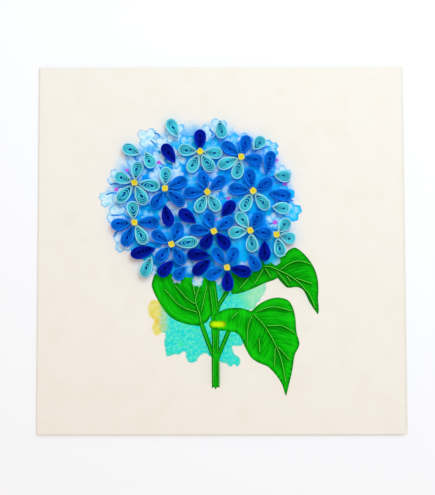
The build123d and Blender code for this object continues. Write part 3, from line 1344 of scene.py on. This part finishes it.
@dataclass
class PrintedPlant:
    """Leaves, stem, wash and yellow patches printed on the card under the bloom."""

    stock: CardStock = CardStock()
    oval: BloomOval = field(default_factory=BloomOval.read)
    curl: LeafCurl = LeafCurl()
    mingling: Mingling = Mingling()
    halo: float = 0.2 * MM
    wash_halo: float = 0.9 * MM
    under_bloom: float = 5.0 * MM
    under_leaf: float = 0.5 * MM
    near_leaf: float = 1.0 * MM
    bloom_rim: float = 1.03
    level_step: float = 0.002
    bend_spacing: float = 0.5 * MM
    streak_slope: float = 0.8
    past_midrib: float = 25 * MM
    stem_slope: float = 1.5
    stem_lanes: float = 7.0
    upper_depth: float = 0.2
    thin_across: Pair = (0.0, 15 * MM)
    thin_up: Pair = (-31 * MM, -26 * MM)
    stem_middle: Pair = (-3 * MM, -25 * MM)
    leaf: LeafInk = LeafInk("leaf_print", "leaf_print", ink(0, 146, 4), ink(0, 188, 2))
    stem: LeafInk = LeafInk("stem_print", "leaf_print", ink(0, 158, 8), ink(14, 200, 10),
                            # the dark beside the stem's strips is partly painted shade of the strips
                            vein_print_and_shade=Ramp(0.15, 0.3, 0.85, 0.0), rim_line=Ramp(0.5, 0.9, 0.62, 0.0))
    wash: WashInk = WashInk("wash_print", "wash_print", ink(22, 226, 220), ink(96, 242, 212), 1.5 * MM)
    patch: WashInk = WashInk("patch_print", "yellow_print", ink(232, 220, 96), ink(242, 236, 144),
                             1.6 * MM, third=ink(238, 204, 76), rim_tone=ink(240, 232, 136),
                             rim_fades=Ramp(1.0, 2.1))
    mingle: MingleInk = MingleInk("mingle_print", "yellow_print", ink(164, 220, 150), ink(188, 224, 196),
                                  1.6 * MM, first=patch, second=wash)

    def __post_init__(self) -> None:
        """Reads the outlines of the leaves and the stem from the frame."""
        nodes = nodes_named("print_leaf_") + ["print_stem"]
        self.greens = [closed(solid.top_outline()) for node in nodes for solid in solids_of(node)]

    def tucked(self, outline: np.ndarray) -> np.ndarray:
        """Carries what ends at the bloom's rim further in, so that florets lie over it.

        Args:
            outline: The outline of a leaf, the stem or a wash.

        Returns:
            The longer outline.
        """
        inwards = self.oval.middle - outline
        inwards = inwards / np.linalg.norm(inwards, axis=1)[:, None]
        at_bloom = self.oval.reach_of(outline) < self.bloom_rim
        return np.where(at_bloom[:, None], outline + self.under_bloom * inwards, outline)

    def covered(self, outline: np.ndarray) -> np.ndarray:
        """Says at which of its points a wash's rim runs under a leaf, the stem or the bloom."""
        away = np.min([nearest(outline, green)[0] for green in self.greens], axis=0)
        return (away < self.near_leaf) | (self.oval.reach_of(outline) < self.bloom_rim)

    def open_rims(self, outline: np.ndarray, under: np.ndarray) -> list[np.ndarray]:
        """Picks the runs of a wash's rim that meet bare card, where it fades.

        Args:
            outline: The wash's outline, going round once.
            under: For each of its points, whether it runs under something.

        Returns:
            The runs, each by its points.
        """
        if not under.any():
            return [closed(outline)]
        start = int(np.flatnonzero(under)[0])
        runs, run = [], []
        for point, hidden in zip(np.roll(outline, -start, axis=0), np.roll(under, -start)):
            if not hidden:
                run.append(point)
            elif run:
                runs.append(np.array(run))
                run = []
        return [run for run in runs + [np.array(run)] if len(run) > 1]

    def washed(self, outline: np.ndarray) -> tuple[np.ndarray, list[np.ndarray]]:
        """Softens and widens a wash's outline where it meets bare card.

        Args:
            outline: The wash's outline in the frame.

        Returns:
            The new outline, and the runs of its rim that fade.
        """
        outline = soften(outline, corner=180.0, hidden=self.covered(outline))
        under = self.covered(outline)
        wider = np.where(under, self.under_leaf, self.wash_halo)[:, None]
        outline = spread(self.tucked(outline), wider)
        return outline, self.open_rims(outline, under)

    def leaf_values(self, points: np.ndarray, veins: list[np.ndarray]) -> Values:
        """Values that the leaf's ink reads.

        Args:
            points: The leaf's points in plan.
            veins: Middle lines of its vein strips. The one that ends lowest is the midrib.

        Returns:
            Distance from a vein and place among the streaks, by name.
        """
        vein = np.min([nearest(points, line)[0] for line in veins], axis=0)
        midrib = min(veins, key=lambda line: float(line[[0, -1], 1].min()))
        ends = np.linalg.norm(midrib[[0, -1]] - self.stem_middle, axis=1)
        midrib = midrib if ends[0] < ends[1] else midrib[::-1]
        away, along = nearest(points, carried_on(midrib, self.past_midrib))
        return {"vein": vein / MM, "lane": (along - self.streak_slope * away) / MM, "run": away / MM}

    def stem_values(self, points: np.ndarray, strips: list[np.ndarray]) -> Values:
        """Values that the stem's ink reads: its streaks run along it.

        Args:
            points: The stem's points in plan.
            strips: Middle lines of the strips along it.

        Returns:
            Distance from a strip and place among the streaks, by name.
        """
        measured = [nearest(points, line) for line in strips]
        away = np.array([distance for distance, _ in measured])
        closest = away.argmin(axis=0)
        along = np.array([run for _, run in measured])[closest, np.arange(len(points))]
        away = away.min(axis=0) / MM
        return {"vein": away, "lane": self.stem_slope * away + self.stem_lanes * closest,
                "run": along / MM}

    def wash_values(self, points: np.ndarray) -> Values:
        """Values that the wash's ink reads: it runs out thin between the two right leaves."""
        x, y = points.T
        return {"rim": step(x, *self.thin_across) * step(y, *self.thin_up)}

    def printed(self, node: str, name: str, layer: Layer, finish: PrintedInk,
                values: Callable[[np.ndarray], Values]) -> None:
        """Prints the fields of a node.

        Args:
            node: The CAD node of the flat field.
            name: The new piece's name.
            layer: Which layer of the print it is.
            finish: Its ink.
            values: Gives the values that the ink reads, from the points in plan.
        """
        fields = []
        for index, solid in enumerate(solids_of(node)):
            if isinstance(finish, WashInk):
                outline, rims = self.washed(solid.top_outline())
            else:
                outline, rims = spread(soften(self.tucked(solid.top_outline())), self.halo), None
            fields.append(InkedField(outline, layer, values, rims, index * self.level_step))
        self.lay(fields, node, name, finish)

    def lay(self, fields: list[InkedField], node: str, name: str, finish: PrintedInk) -> None:
        """Lays fields of one ink on the card as one piece.

        Args:
            fields: The fields.
            node: The CAD node that they stand for.
            name: The new piece's name.
            finish: Their ink.
        """
        draft = Draft()
        for inked in fields:
            inked.lay(draft)
        draft.piece(name, [finish.material(self.stock)], node, crease=None)

    def build_leaf(self, name: str, depth: float) -> None:
        """Prints one leaf.

        Args:
            name: The leaf's own part of its nodes' names.
            depth: How much darker than the others it is printed.
        """
        veins = [smooth_line(solid.middle_line(), self.bend_spacing)
                 for solid in solids_of(f"{name}_veins")]
        self.printed(f"print_{name}", f"printed_{name}", Layer.LEAF, self.leaf,
                     lambda points: self.leaf_values(points, veins) | {"depth": depth})

    def build(self) -> None:
        """Prints the patches, the wash, the leaves, what lies over them and the stem."""
        self.printed("print_yellow", "printed_patches", Layer.PATCH, self.patch,
                     lambda points: {"rim": 0.0})
        self.printed("print_wash", "printed_wash", Layer.WASH, self.wash, self.wash_values)
        for name, depth in (("leaf_left", 0.0), ("leaf_upper", self.upper_depth), ("leaf_lower", 0.0)):
            self.build_leaf(name, depth)
        self.lay([InkedField(self.mingling.outline(), Layer.MINGLE, self.mingling.values, [])],
                 "print_yellow", "printed_mingle", self.mingle)
        self.lay([InkedField(self.curl.outline(), Layer.CURL, self.curl.values)],
                 "print_leaf_lower", "printed_curl", self.leaf)
        strips = [solid.middle_line() for solid in solids_of("stem_strips")]
        self.printed("print_stem", "printed_stem", Layer.STEM, self.stem,
                     lambda points: self.stem_values(points, strips))


@dataclass(frozen=True)
class FloretShape:
    """A printed floret: round petals with a notch at their ends and a seam between them."""

    rings: tuple[float, ...] = (0.3, 0.62, 0.86, 1.0)
    sectors: int = 14
    waist: float = 0.36
    waist_power: float = 1.6
    notch: float = 0.06
    notch_width: float = 0.05
    uneven: Pair = (-0.12, 0.06)
    seam: float = 0.97

    def plan(self, petals: int, draws: random.Random) -> tuple[np.ndarray, np.ndarray, Faces]:
        """Lays out a floret round the origin, its petals 1 long.

        Args:
            petals: How many petals it has.
            draws: Source of the small differences between them.

        Returns:
            Its points, how near a rim or a seam each lies, and its faces.
        """
        count = self.sectors * petals
        bearings = bearings_round(count)
        from_seam = (1 - np.cos(petals * bearings)) / 2
        notch = np.exp(-((from_seam - 1) / self.notch_width) ** 2)
        uneven = np.repeat([draws.uniform(*self.uneven) for _ in range(petals)], self.sectors)
        reach = (1 - self.waist * (1 - from_seam) ** self.waist_power - self.notch * notch
                 + uneven * from_seam)
        way = ways(bearings) * reach[:, None]
        seam = np.where(np.arange(count) % self.sectors == 0, self.seam, 0.0)
        points = np.vstack([np.zeros((1, 2))] + [ring * way for ring in self.rings])
        rims = np.concatenate([np.zeros(1)] + [np.maximum(seam, ring) for ring in self.rings])
        return points, rims, disc_faces(count, len(self.rings))


@dataclass(frozen=True)
class FloretTint:
    """How blue a printed floret is: least at the upper left and round the bloom's upper rim."""

    mean: float = 0.56
    rightwards: float = 0.45
    upwards: float = -0.3
    varied: Pair = (-0.6, 0.5)
    rim: Pair = (0.72, 0.92)
    rim_above: Pair = (-0.6, -0.3)
    rim_share: float = 0.55
    held: Pair = (-0.2, 0.95)
    light_bearing: float = 2.2
    light_share: float = 0.22
    shades: Pair = (-0.3, 1.1)

    def draw(self, bearing: float, reach: float, draws: random.Random) -> float:
        """Draws a floret's tint.

        Args:
            bearing: The floret's bearing in the bloom.
            reach: How far out it lies.
            draws: Source of its difference from its neighbours.

        Returns:
            The tint, 0 for white and 1 for blue.
        """
        across, along = math.cos(bearing) * reach, math.sin(bearing) * reach
        tint = self.mean + self.rightwards * across + self.upwards * along + draws.uniform(*self.varied)
        outer = float(step(reach, *self.rim) * step(along, *self.rim_above))
        return tint * (1 - self.rim_share * outer)

    def shade(self, plan: np.ndarray, turn: float, tint: float) -> np.ndarray:
        """Shades a floret: it is paler on the side where the light comes from.

        Args:
            plan: Its points before it is turned.
            turn: How far it is turned.
            tint: Its tint.

        Returns:
            The shade at each point.
        """
        low, high = self.held
        lit = (plan @ ways(np.array(self.light_bearing - turn))) * self.light_share
        return np.clip(min(high, max(low, tint)) - lit, *self.shades)


@dataclass
class FloretGround:
    """The printed ground of the bloom: azure, small florets, stalks and buds.

    The florets lie on a sunflower spiral over the bloom's oval, so their places come from the
    spiral alone. Those of the skirt hang over the leaves at its foot.
    """

    stock: CardStock = CardStock()
    oval: BloomOval = field(default_factory=BloomOval.read)
    draws: random.Random = field(default_factory=lambda: random.Random(SEED))
    azure_corners: int = 120
    azure_spacing: float = 1.0 * MM
    azure_shoulder: float = 0.8 * MM
    lowest_azure: float = 0.89
    held_in: Pair = (-0.75, -0.2)
    fuller: float = 0.2
    fuller_below: Pair = (0.3, 0.7)
    shape: FloretShape = FloretShape()
    tint: FloretTint = FloretTint()
    florets: int = 74
    petals: tuple[int, ...] = (4, 4, 5)
    outermost: float = 0.95
    shift: float = 0.06
    floret_size: float = 4.6 * MM
    sizes: Pair = (0.85, 1.15)
    squashes: Pair = (0.8, 1.0)
    low_size: float = 0.55
    low_height: float = -0.78
    skirt: tuple[float, ...] = (-122, -105, -92, -79)
    skirt_reach: float = 0.93
    skirt_tint: float = -0.2
    rim_fade: float = 0.5
    rim_fades: Pair = (0.94, 1.08)
    levels: int = 11
    level_step: float = 0.0022
    stalks: int = 30
    stalk_reaches: Pair = (0.8, 0.97)
    stalks_above: float = -0.5
    stalk_bend: float = 1.6 * MM
    stalk_lengths: Pair = (2.5 * MM, 5.0 * MM)
    stalk_points: int = 9
    stalk_arc: float = 2.4
    stalk_widths: Pair = (0.5 * MM, 1.05 * MM)
    buds: tuple[Pair, ...] = ((153, 0.83), (170, 0.86), (132, 0.63), (33, 0.9),
                              (14, 0.87), (9, 0.28), (-56, 0.25), (-18, 0.78))
    bud_size: float = 1.0 * MM
    bud_sizes: Pair = (0.8, 1.1)
    bud_corners: int = 16
    bud_squash: float = 0.88
    bud_core: float = 0.6
    bud_core_rim: float = 0.5
    azure: GroundInk = GroundInk("azure_print", "floret_print", ink(0, 160, 244), ink(10, 208, 255),
                                 3.2 * MM)
    white: FloretInk = FloretInk("floret_print", "floret_print", ink(226, 252, 255), ink(176, 238, 255),
                                 1.6 * MM)
    stalk: PrintedInk = PrintedInk("stalk_print", "floret_print", ink(30, 134, 226), ink(90, 190, 248))
    bud: PrintedInk = PrintedInk("bud_print", "floret_print", ink(240, 100, 222), ink(200, 116, 230))

    def azure_values(self, points: np.ndarray) -> Values:
        """How far out a point lies, less where the ground is held in and stays full."""
        below = (self.oval.middle[1] - points[:, 1]) / self.oval.half[1]
        return {"reach": self.oval.reach_of(points) - self.fuller * step(below, *self.fuller_below)}

    def lay_azure(self, draft: Draft) -> None:
        """Adds the azure that shows between the florets, held in at the leaves.

        Args:
            draft: The piece that it belongs to.
        """
        bearings = bearings_round(self.azure_corners)
        open_rim = step(np.sin(bearings), *self.held_in)
        outline = self.oval.at(bearings, self.lowest_azure + (1 - self.lowest_azure) * open_rim)
        InkedField(outline, Layer.GROUND, self.azure_values, spacing=self.azure_spacing,
                   shoulder=self.azure_shoulder).lay(draft)

    def lay_florets(self, draft: Draft) -> None:
        """Adds the florets, each a little different in size, turn, roundness and tint.

        Args:
            draft: The piece that they belong to.
        """
        places = [(index * GOLDEN_TURN + self.draws.uniform(-self.shift, self.shift),
                   math.sqrt((index + 0.5) / self.florets) * self.outermost)
                  for index in range(self.florets)]
        places += [(math.radians(bearing), self.skirt_reach) for bearing in self.skirt]
        for index, (bearing, reach) in enumerate(places):
            plan, rims, faces = self.shape.plan(self.draws.choice(self.petals), self.draws)
            size = self.floret_size * self.draws.uniform(*self.sizes)
            size *= self.low_size if math.sin(bearing) * reach < self.low_height else 1
            turn, squash = self.draws.uniform(0, WHOLE_TURN), self.draws.uniform(*self.squashes)
            placed = turned(plan * [size, size * squash], turn) + self.oval.at(bearing, reach)
            tint = self.tint.draw(bearing, reach, self.draws)
            tint = tint if index < self.florets else self.skirt_tint
            cover = 1 - self.rim_fade * step(self.oval.reach_of(placed), *self.rim_fades)
            lift = Layer.FLORET.value + (index % self.levels) * self.level_step
            add_skin(draft, placed, faces, CARD_TOP + lift * MM, CARD_TOP,
                     {"rim": rims, "shade": self.tint.shade(plan, turn, tint), "cover": cover})

    def lay_stalks(self, draft: Draft) -> None:
        """Adds the fine stalks that show between the outer florets, and one to each bud, but none low in
        the bloom.

        Args:
            draft: The piece that they belong to.
        """
        starts = [(math.radians(bearing), reach) for bearing, reach in self.buds]
        for index in range(self.stalks):
            bearing = WHOLE_TURN * (index + self.draws.random()) / self.stalks
            starts.append((bearing, self.draws.uniform(*self.stalk_reaches)))
        count = self.stalk_points
        share = np.linspace(0, 1, count)[:, None]
        half = np.linspace(*self.stalk_widths, count)[:, None] / 2
        faces = [[i, i + 1, count + i + 1, count + i] for i in range(count - 1)]
        for bearing, reach in starts:
            if math.sin(bearing) < self.stalks_above:
                continue
            start = self.oval.at(bearing, reach)
            inwards = (self.oval.middle - start) / np.linalg.norm(self.oval.middle - start)
            bend = self.draws.uniform(-self.stalk_bend, self.stalk_bend)
            sideways = np.array([-inwards[1], inwards[0]]) * bend
            length = self.draws.uniform(*self.stalk_lengths)
            line = start + inwards * length * share + sideways * np.sin(share * self.stalk_arc)
            left = left_of(line) * half
            add_skin(draft, np.vstack([line + left, line - left]), faces,
                     CARD_TOP + Layer.STALK.value * MM, CARD_TOP,
                     {"rim": np.tile(share.ravel(), 2), "cover": 1.0})

    def lay_buds(self, draft: Draft) -> None:
        """Adds the small magenta buds.

        Args:
            draft: The piece that they belong to.
        """
        circle = ways(bearings_round(self.bud_corners)) * [1, self.bud_squash]
        plan = np.vstack([np.zeros((1, 2)), self.bud_core * circle, circle])
        rims = np.repeat([0.0, self.bud_core_rim, 1.0], [1, self.bud_corners, self.bud_corners])
        for bearing, reach in self.buds:
            size = self.bud_size * self.draws.uniform(*self.bud_sizes)
            add_skin(draft, plan * size + self.oval.at(math.radians(bearing), reach),
                     disc_faces(self.bud_corners, 2), CARD_TOP + Layer.BUD.value * MM, CARD_TOP,
                     {"rim": rims, "cover": 1.0})

    def build(self) -> None:
        """Prints the azure, the florets, the stalks and the buds."""
        jobs = (("azure", self.lay_azure, self.azure), ("florets", self.lay_florets, self.white),
                ("stalks", self.lay_stalks, self.stalk), ("buds", self.lay_buds, self.bud))
        for kind, lay, finish in jobs:
            draft = Draft()
            lay(draft)
            draft.piece(f"printed_{kind}", [finish.material(self.stock)], "print_florets",
                        crease=None)


# The quilling


@dataclass
class StandingStrips:
    """Single paper strips glued on edge along the veins and the stem."""

    # The strips' top edges are painted a lighter green than their sides: a painted highlight
    vein_paper: StripPaper = StripPaper("leaf_paper", "leaf_paper", ink(8, 170, 14), ink(104, 250, 76),
                                        ink(104, 250, 76))
    stem_paper: StripPaper = StripPaper("stem_paper", "leaf_paper", ink(4, 160, 10), ink(70, 228, 52),
                                        ink(70, 228, 52))
    thickness: float = 0.22 * MM
    spacing: float = 0.3 * MM
    droop: float = 0.35 * MM
    droop_share: float = 0.12
    waver: float = 0.04 * MM
    waver_pace: float = 9.0

    def lay(self, draft: Draft, solid: Solid, draws: random.Random) -> None:
        """Stands one strip in place of its solid, with drooping ends.

        Args:
            draft: The piece that it belongs to.
            solid: The strip in the frame.
            draws: Source of its small irregularities.
        """
        line = smooth_line(solid.middle_line(), self.spacing)
        low, high = solid.points[:, 2].min(), solid.points[:, 2].max()
        share = np.linspace(0, 1, len(line))
        upright = step(share, 0, self.droop_share) * step(1 - share, 0, self.droop_share)
        waver = self.waver * (1 + np.sin(share * self.waver_pace + draws.uniform(*PHASES)))
        top = high - self.droop * (1 - upright) - waver
        edge = np.full(len(line), StripPart.ROLL_EDGE)
        PaperStrip(line, self.thickness, low, top, edge, draws.random()).lay(draft)

    def build(self) -> None:
        """Stands a strip along each line of the frame's strip nodes."""
        papers = {node: self.vein_paper for node in nodes_named("leaf_", "_veins")}
        papers["stem_strips"] = self.stem_paper
        for node, paper in papers.items():
            draft = Draft()
            for index, solid in enumerate(solids_of(node)):
                self.lay(draft, solid, random.Random(SEED + index))
            draft.piece(f"standing_{node}", paper.materials(), node)


@dataclass
class Petal:
    """Place and size of one rolled petal: its tip, its bearing from there, and how big it is."""

    tip: np.ndarray
    bearing: float
    length: float
    width: float

    @classmethod
    def read(cls, solid: Solid) -> "Petal":
        """Reads a petal from its solid, whose flat end and widest corner lie short of the curve.

        Args:
            solid: The petal in the frame, with its tip at one corner.

        Returns:
            The petal.
        """
        outline = solid.top_outline()
        middle = solid.middle()
        tip = outline[np.argmax(np.linalg.norm(outline - middle, axis=1))]
        axis = (middle - tip) / np.linalg.norm(middle - tip)
        out = outline - tip
        end, widest = (WHOLE_TURN * corner / RING_SIDES for corner in (4, 3))
        flat_end = (1 - math.cos(end)) / 2
        fullest_corner = math.sin(widest) * math.sin(widest / 2) ** FLANK / FULLEST
        length = float((out @ axis).max()) / flat_end
        width = 2 * float(np.abs(out @ np.array([-axis[1], axis[0]])).max()) / fullest_corner
        return cls(tip, math.atan2(axis[1], axis[0]), length, width)


@dataclass
class RolledPetals:
    """Teardrop petals of one paper: glued outer turns, then loose ones to the eye of each."""

    node: str
    paper: StripPaper
    strip: float = 0.31 * MM
    glued_strip: float = 0.2 * MM
    glued_turns: int = 2
    loose_turns: float = 3.3
    turns_vary: float = 0.5
    loosens: float = 0.3
    loose_from: float = 0.5
    steps: int = 38
    snug: float = 1.03
    eye: float = 0.585
    eye_vary: float = 0.09
    eye_reach: float = 0.17
    inwards_power: float = 0.94
    waver: float = 0.02
    waver_paces: tuple[float, ...] = (0.37, 0.71, 1.31)
    full_tip: float = 0.07
    rounder: float = 0.3
    rounder_inside: float = 0.5
    rounds_by: float = 1.6
    tip_power: float = 1.22
    end_power: float = 0.92
    side_power: float = 0.97
    lean: float = 0.32 * MM
    sunk: float = 0.2 * MM
    sunk_share: float = 0.55
    sunk_wave: float = 0.3
    sunk_pace: float = 2.1
    foot: float = 0.08 * MM

    def roll(self, petal: Petal, draws: random.Random) -> tuple[np.ndarray, np.ndarray, np.ndarray]:
        """Rolls one petal's strip, from its glued end at the tip to its eye.

        Args:
            petal: The petal's place and size.
            draws: Source of its small irregularities.

        Returns:
            The strip's middle line in plan, how far its top lies below the petal's, and how
            loose the roll is at each point, from 0 where it is glued to 1.
        """
        turns = self.glued_turns + self.loose_turns + draws.uniform(-self.turns_vary, self.turns_vary)
        turn = np.linspace(0, turns, int(turns * self.steps))
        width, length = petal.width * self.snug, petal.length
        first, tight = 1 - self.glued_strip / width, 2 * self.glued_strip / width
        loose = step(turn, self.glued_turns, self.glued_turns + self.loosens)
        gone = np.clip((turn - self.glued_turns) / (turns - self.glued_turns), 0, 1)
        inner = first - tight * self.glued_turns
        reach = np.where(turn < self.glued_turns, first - tight * turn,
                         inner + (self.eye_reach - inner) * gone ** self.inwards_power)
        waver = sum(math.cos(draws.uniform(*PHASES))
                    * np.sin(turn * WHOLE_TURN * pace + draws.uniform(*PHASES))
                    for pace in self.waver_paces)
        reach = reach * (1 + self.waver * loose * waver)
        inside_rounds = self.rounder_inside * np.clip(self.rounds_by * gone, 0, 1)
        pointed = 1 - self.full_tip - loose * (self.rounder + inside_rounds)
        angle = WHOLE_TURN * turn
        eye = (self.eye + draws.uniform(-self.eye_vary, self.eye_vary)) * length
        to_tip, to_end = eye * reach ** self.tip_power, (length - eye) * reach ** self.end_power
        x = eye + (to_end - to_tip) / 2 - (to_end + to_tip) / 2 * np.cos(angle)
        drop_side = np.abs(np.sin(angle / 2)) ** FLANK / FULLEST
        y = width / 2 * reach ** self.side_power * np.sin(angle) * (pointed * drop_side + 1 - pointed)
        y = y + draws.uniform(-self.lean, self.lean) * loose * (1 - reach)
        wave = self.sunk_wave * np.sin(turn * self.sunk_pace + draws.uniform(*PHASES)) * loose
        line = turned(np.stack([x, y], axis=1), petal.bearing) + petal.tip
        return line, self.sunk * loose * (self.sunk_share + wave), loose

    def lay_foot(self, draft: Draft, ring: np.ndarray, low: float, batch: float) -> None:
        """Closes the roll's foot with a thin sheet of the same paper, inside its glued turns.

        Args:
            draft: The piece that it belongs to.
            ring: One whole turn of the roll, in plan.
            low: Height of the foot.
            batch: The petal's tint.
        """
        plan = np.vstack([ring.mean(axis=0), ring[::2]])
        add_skin(draft, plan, disc_faces(len(plan) - 1), low + self.foot, low, {"batch": batch})

    def build(self, materials: list[bpy.types.Material]) -> None:
        """Rolls every petal of the node.

        Args:
            materials: The paper's materials, in the order of its parts.
        """
        low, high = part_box(self.node)
        draft = Draft()
        for index, solid in enumerate(solids_of(self.node)):
            draws = random.Random(f"{SEED} {self.node} {index}")
            line, below, loose = self.roll(Petal.read(solid), draws)
            edge = np.where(loose < self.loose_from, StripPart.RING_EDGE, StripPart.ROLL_EDGE)
            thickness = self.glued_strip + (self.strip - self.glued_strip) * loose
            batch = draws.random()
            PaperStrip(line, thickness, low.z, high.z - below, edge, batch).lay(draft)
            self.lay_foot(draft, line[self.steps:2 * self.steps], low.z, batch)
        draft.piece(self.node.replace("petals", "rolls"), materials, self.node)


@dataclass
class SquareCentre:
    """A small square roll of yellow paper on the tips of a flower's petals."""

    node: str
    paper: StripPaper
    turns: float = 5.4
    strip: float = 0.17 * MM
    steps: int = 48
    squareness: float = 7.0
    core: float = 0.1 * MM
    rim_turns: float = 2.2
    dip: float = 0.12 * MM
    dip_turns: float = 0.8

    def build(self, materials: list[bpy.types.Material]) -> None:
        """Rolls the centre and presses its core in a little.

        Args:
            materials: The paper's materials, in the order of its parts.
        """
        low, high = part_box(self.node)
        middle = np.array([(low.x + high.x) / 2, (low.y + high.y) / 2])
        corners = solids_of(self.node)[0].points[:, :2] - middle
        corner = max(corners, key=lambda point: float(np.linalg.norm(point)))
        facing = math.atan2(corner[1], corner[0]) - math.pi / 4
        half = float(np.linalg.norm(corner)) / math.sqrt(2) - self.strip / 2
        draws = random.Random(f"{SEED} {self.node}")
        turn = np.linspace(0, self.turns, int(self.turns * self.steps))
        way = ways(WHOLE_TURN * turn + draws.uniform(0, WHOLE_TURN))
        size = half + (self.core - half) * turn / self.turns
        size = size / (np.abs(way) ** self.squareness).sum(axis=1) ** (1 / self.squareness)
        line = turned(way * size[:, None], facing) + middle
        sunk = self.dip * step(turn, self.rim_turns, self.rim_turns + self.dip_turns)
        edge = np.where(turn < self.rim_turns, StripPart.RING_EDGE, StripPart.ROLL_EDGE)
        draft = Draft()
        PaperStrip(line, self.strip, low.z, high.z - sunk, edge, draws.random()).lay(draft)
        draft.piece(f"{self.node}_roll", materials, self.node)


@dataclass
class Bloom:
    """The quilled bloom: every rolled petal and every square centre."""

    # The yellow's cut edges are painted paler than its side, the glued ring's most: a painted highlight
    yellow: StripPaper = StripPaper("yellow_paper", "yellow_paper", ink(252, 214, 0), ink(255, 232, 0),
                                    ink(255, 242, 96))

    def build(self) -> None:
        """Rolls the petals paper by paper, and then the centres."""
        for shade in Shade:
            materials = shade.value.materials()
            for node in nodes_named("", f"_{shade.name}_petals"):
                RolledPetals(node, shade.value).build(materials)
        materials = self.yellow.materials()
        for node in nodes_named("flower_", "_centre"):
            SquareCentre(node, self.yellow).build(materials)


# The studio


@dataclass
class Studio:
    """Pale floor, a soft key lamp, white surroundings and the camera above the card."""

    floor_half: float = 4.0
    floor_drop: float = 0.02 * MM
    floor_matt: float = 0.95
    floor_tone: Colour = (0.72, 0.75, 0.79, 1.0)
    far_tone: Colour = (0.8, 0.925, 1.0, 1.0)
    far: Ramp = Ramp(0.13, 0.6)
    lift: Ramp = Ramp(0.13, 0.6, 0.27, 0.56)
    white: Colour = (1.0, 1.0, 1.0, 1.0)
    around: Colour = (1.0, 0.83, 0.72, 1.0)
    around_strength: float = 0.745
    key_place: tuple[float, float, float] = (0.11, 0.23, 0.44)
    key_size: float = 0.34
    key_power: float = 1.4
    key_tone: tuple[float, float, float] = (0.54, 0.78, 0.95)
    camera_place: tuple[float, float, float] = (3.1 * MM, -38.1 * MM, 520 * MM)
    camera_turn: tuple[float, float, float] = (4.25, 0.53, -0.11)
    camera_clip: Pair = (0.01, 20.0)
    picture_height: int = 495
    focal_pixels: float = 1276.6
    sensor: float = 36.0

    def seen_directly(self, tree: bpy.types.NodeTree) -> Socket:
        """1 for what the camera, a reflection or a transmitted ray sees, and 0 for plain light.

        Args:
            tree: The node tree that asks.

        Returns:
            1 or 0.
        """
        path = tree.nodes.new("ShaderNodeLightPath")
        seen = path.outputs["Is Camera Ray"]
        for kind in ("Is Glossy Ray", "Is Transmission Ray"):
            join = tree.nodes.new("ShaderNodeMath")
            join.operation = "MAXIMUM"
            tree.links.new(seen, join.inputs[0])
            tree.links.new(path.outputs[kind], join.inputs[1])
            seen = join.outputs["Value"]
        return seen

    def build_floor(self) -> None:
        """Lays the pale floor, which keeps the card's shadow and turns white further out."""
        half = self.floor_half
        mesh = bpy.data.meshes.new("floor")
        mesh.from_pydata([(-half, -half, 0), (half, -half, 0), (half, half, 0), (-half, half, 0)], [],
                         [(0, 1, 2, 3)])
        floor = linked("floor", mesh)
        floor.location.z = -self.floor_drop
        bench = Bench("floor", 0.0)
        inputs = bench.shader.inputs
        inputs["Roughness"].default_value = self.floor_matt
        inputs["Base Color"].default_value = self.floor_tone
        away = bench.nodes.new("ShaderNodeVectorMath")
        away.operation = "LENGTH"
        bench.links.new(bench.where, away.inputs[0])
        tone = bench.layered(self.white, (bench.ranged(away.outputs["Value"], self.far), self.far_tone))
        bench.links.new(tone, inputs["Emission Color"])
        lift = bench.ranged(away.outputs["Value"], self.lift)
        lifted = bench.product(self.seen_directly(bench.material.node_tree), lift)
        bench.links.new(lifted, inputs["Emission Strength"])
        mesh.materials.append(bench.material)

    def build_world(self) -> None:
        """Surrounds the card with soft light, and with white where it is seen directly."""
        world = bpy.data.worlds.new("studio")
        bpy.context.scene.world = world
        world.use_nodes = True
        nodes, links = world.node_tree.nodes, world.node_tree.links
        nodes.clear()
        choice = nodes.new("ShaderNodeMixShader")
        links.new(self.seen_directly(world.node_tree), choice.inputs["Fac"])
        for place, tone, strength in ((1, self.around, self.around_strength), (2, self.white, 1.0)):
            sky = nodes.new("ShaderNodeBackground")
            sky.inputs["Color"].default_value = tone
            sky.inputs["Strength"].default_value = strength
            links.new(sky.outputs["Background"], choice.inputs[place])
        output = nodes.new("ShaderNodeOutputWorld")
        links.new(choice.outputs["Shader"], output.inputs["Surface"])

    def build_lamp(self) -> None:
        """Hangs the key lamp beyond the card's top right corner."""
        light = bpy.data.lights.new("key", "AREA")
        light.shape = "DISK"
        light.size = self.key_size
        light.energy = self.key_power
        light.color = self.key_tone
        lamp = linked("key", light)
        lamp.location = self.key_place
        lamp.rotation_euler = (-Vector(self.key_place)).to_track_quat("-Z", "Y").to_euler()

    def build_camera(self) -> None:
        """Sets the camera where the photograph was taken from."""
        lens = bpy.data.cameras.new("camera")
        lens.sensor_width = self.sensor
        lens.lens = self.focal_pixels * self.sensor / self.picture_height
        lens.clip_start, lens.clip_end = self.camera_clip
        camera = linked("camera", lens)
        camera.location = self.camera_place
        camera.rotation_euler = Euler([math.radians(part) for part in self.camera_turn])
        bpy.context.scene.camera = camera

    def build(self) -> None:
        """Builds the floor, the light and the camera."""
        bpy.context.scene.view_settings.view_transform = "Standard"
        self.build_floor()
        self.build_world()
        self.build_lamp()
        self.build_camera()


def main() -> None:
    """Builds the card, its print, its quilling and the studio, in that order."""
    logging.basicConfig(level=logging.INFO, format="%(message)s")
    FoldedCard().build()
    PrintedPlant().build()
    FloretGround().build()
    StandingStrips().build()
    Bloom().build()
    Studio().build()


if __name__ == "__main__":
    main()
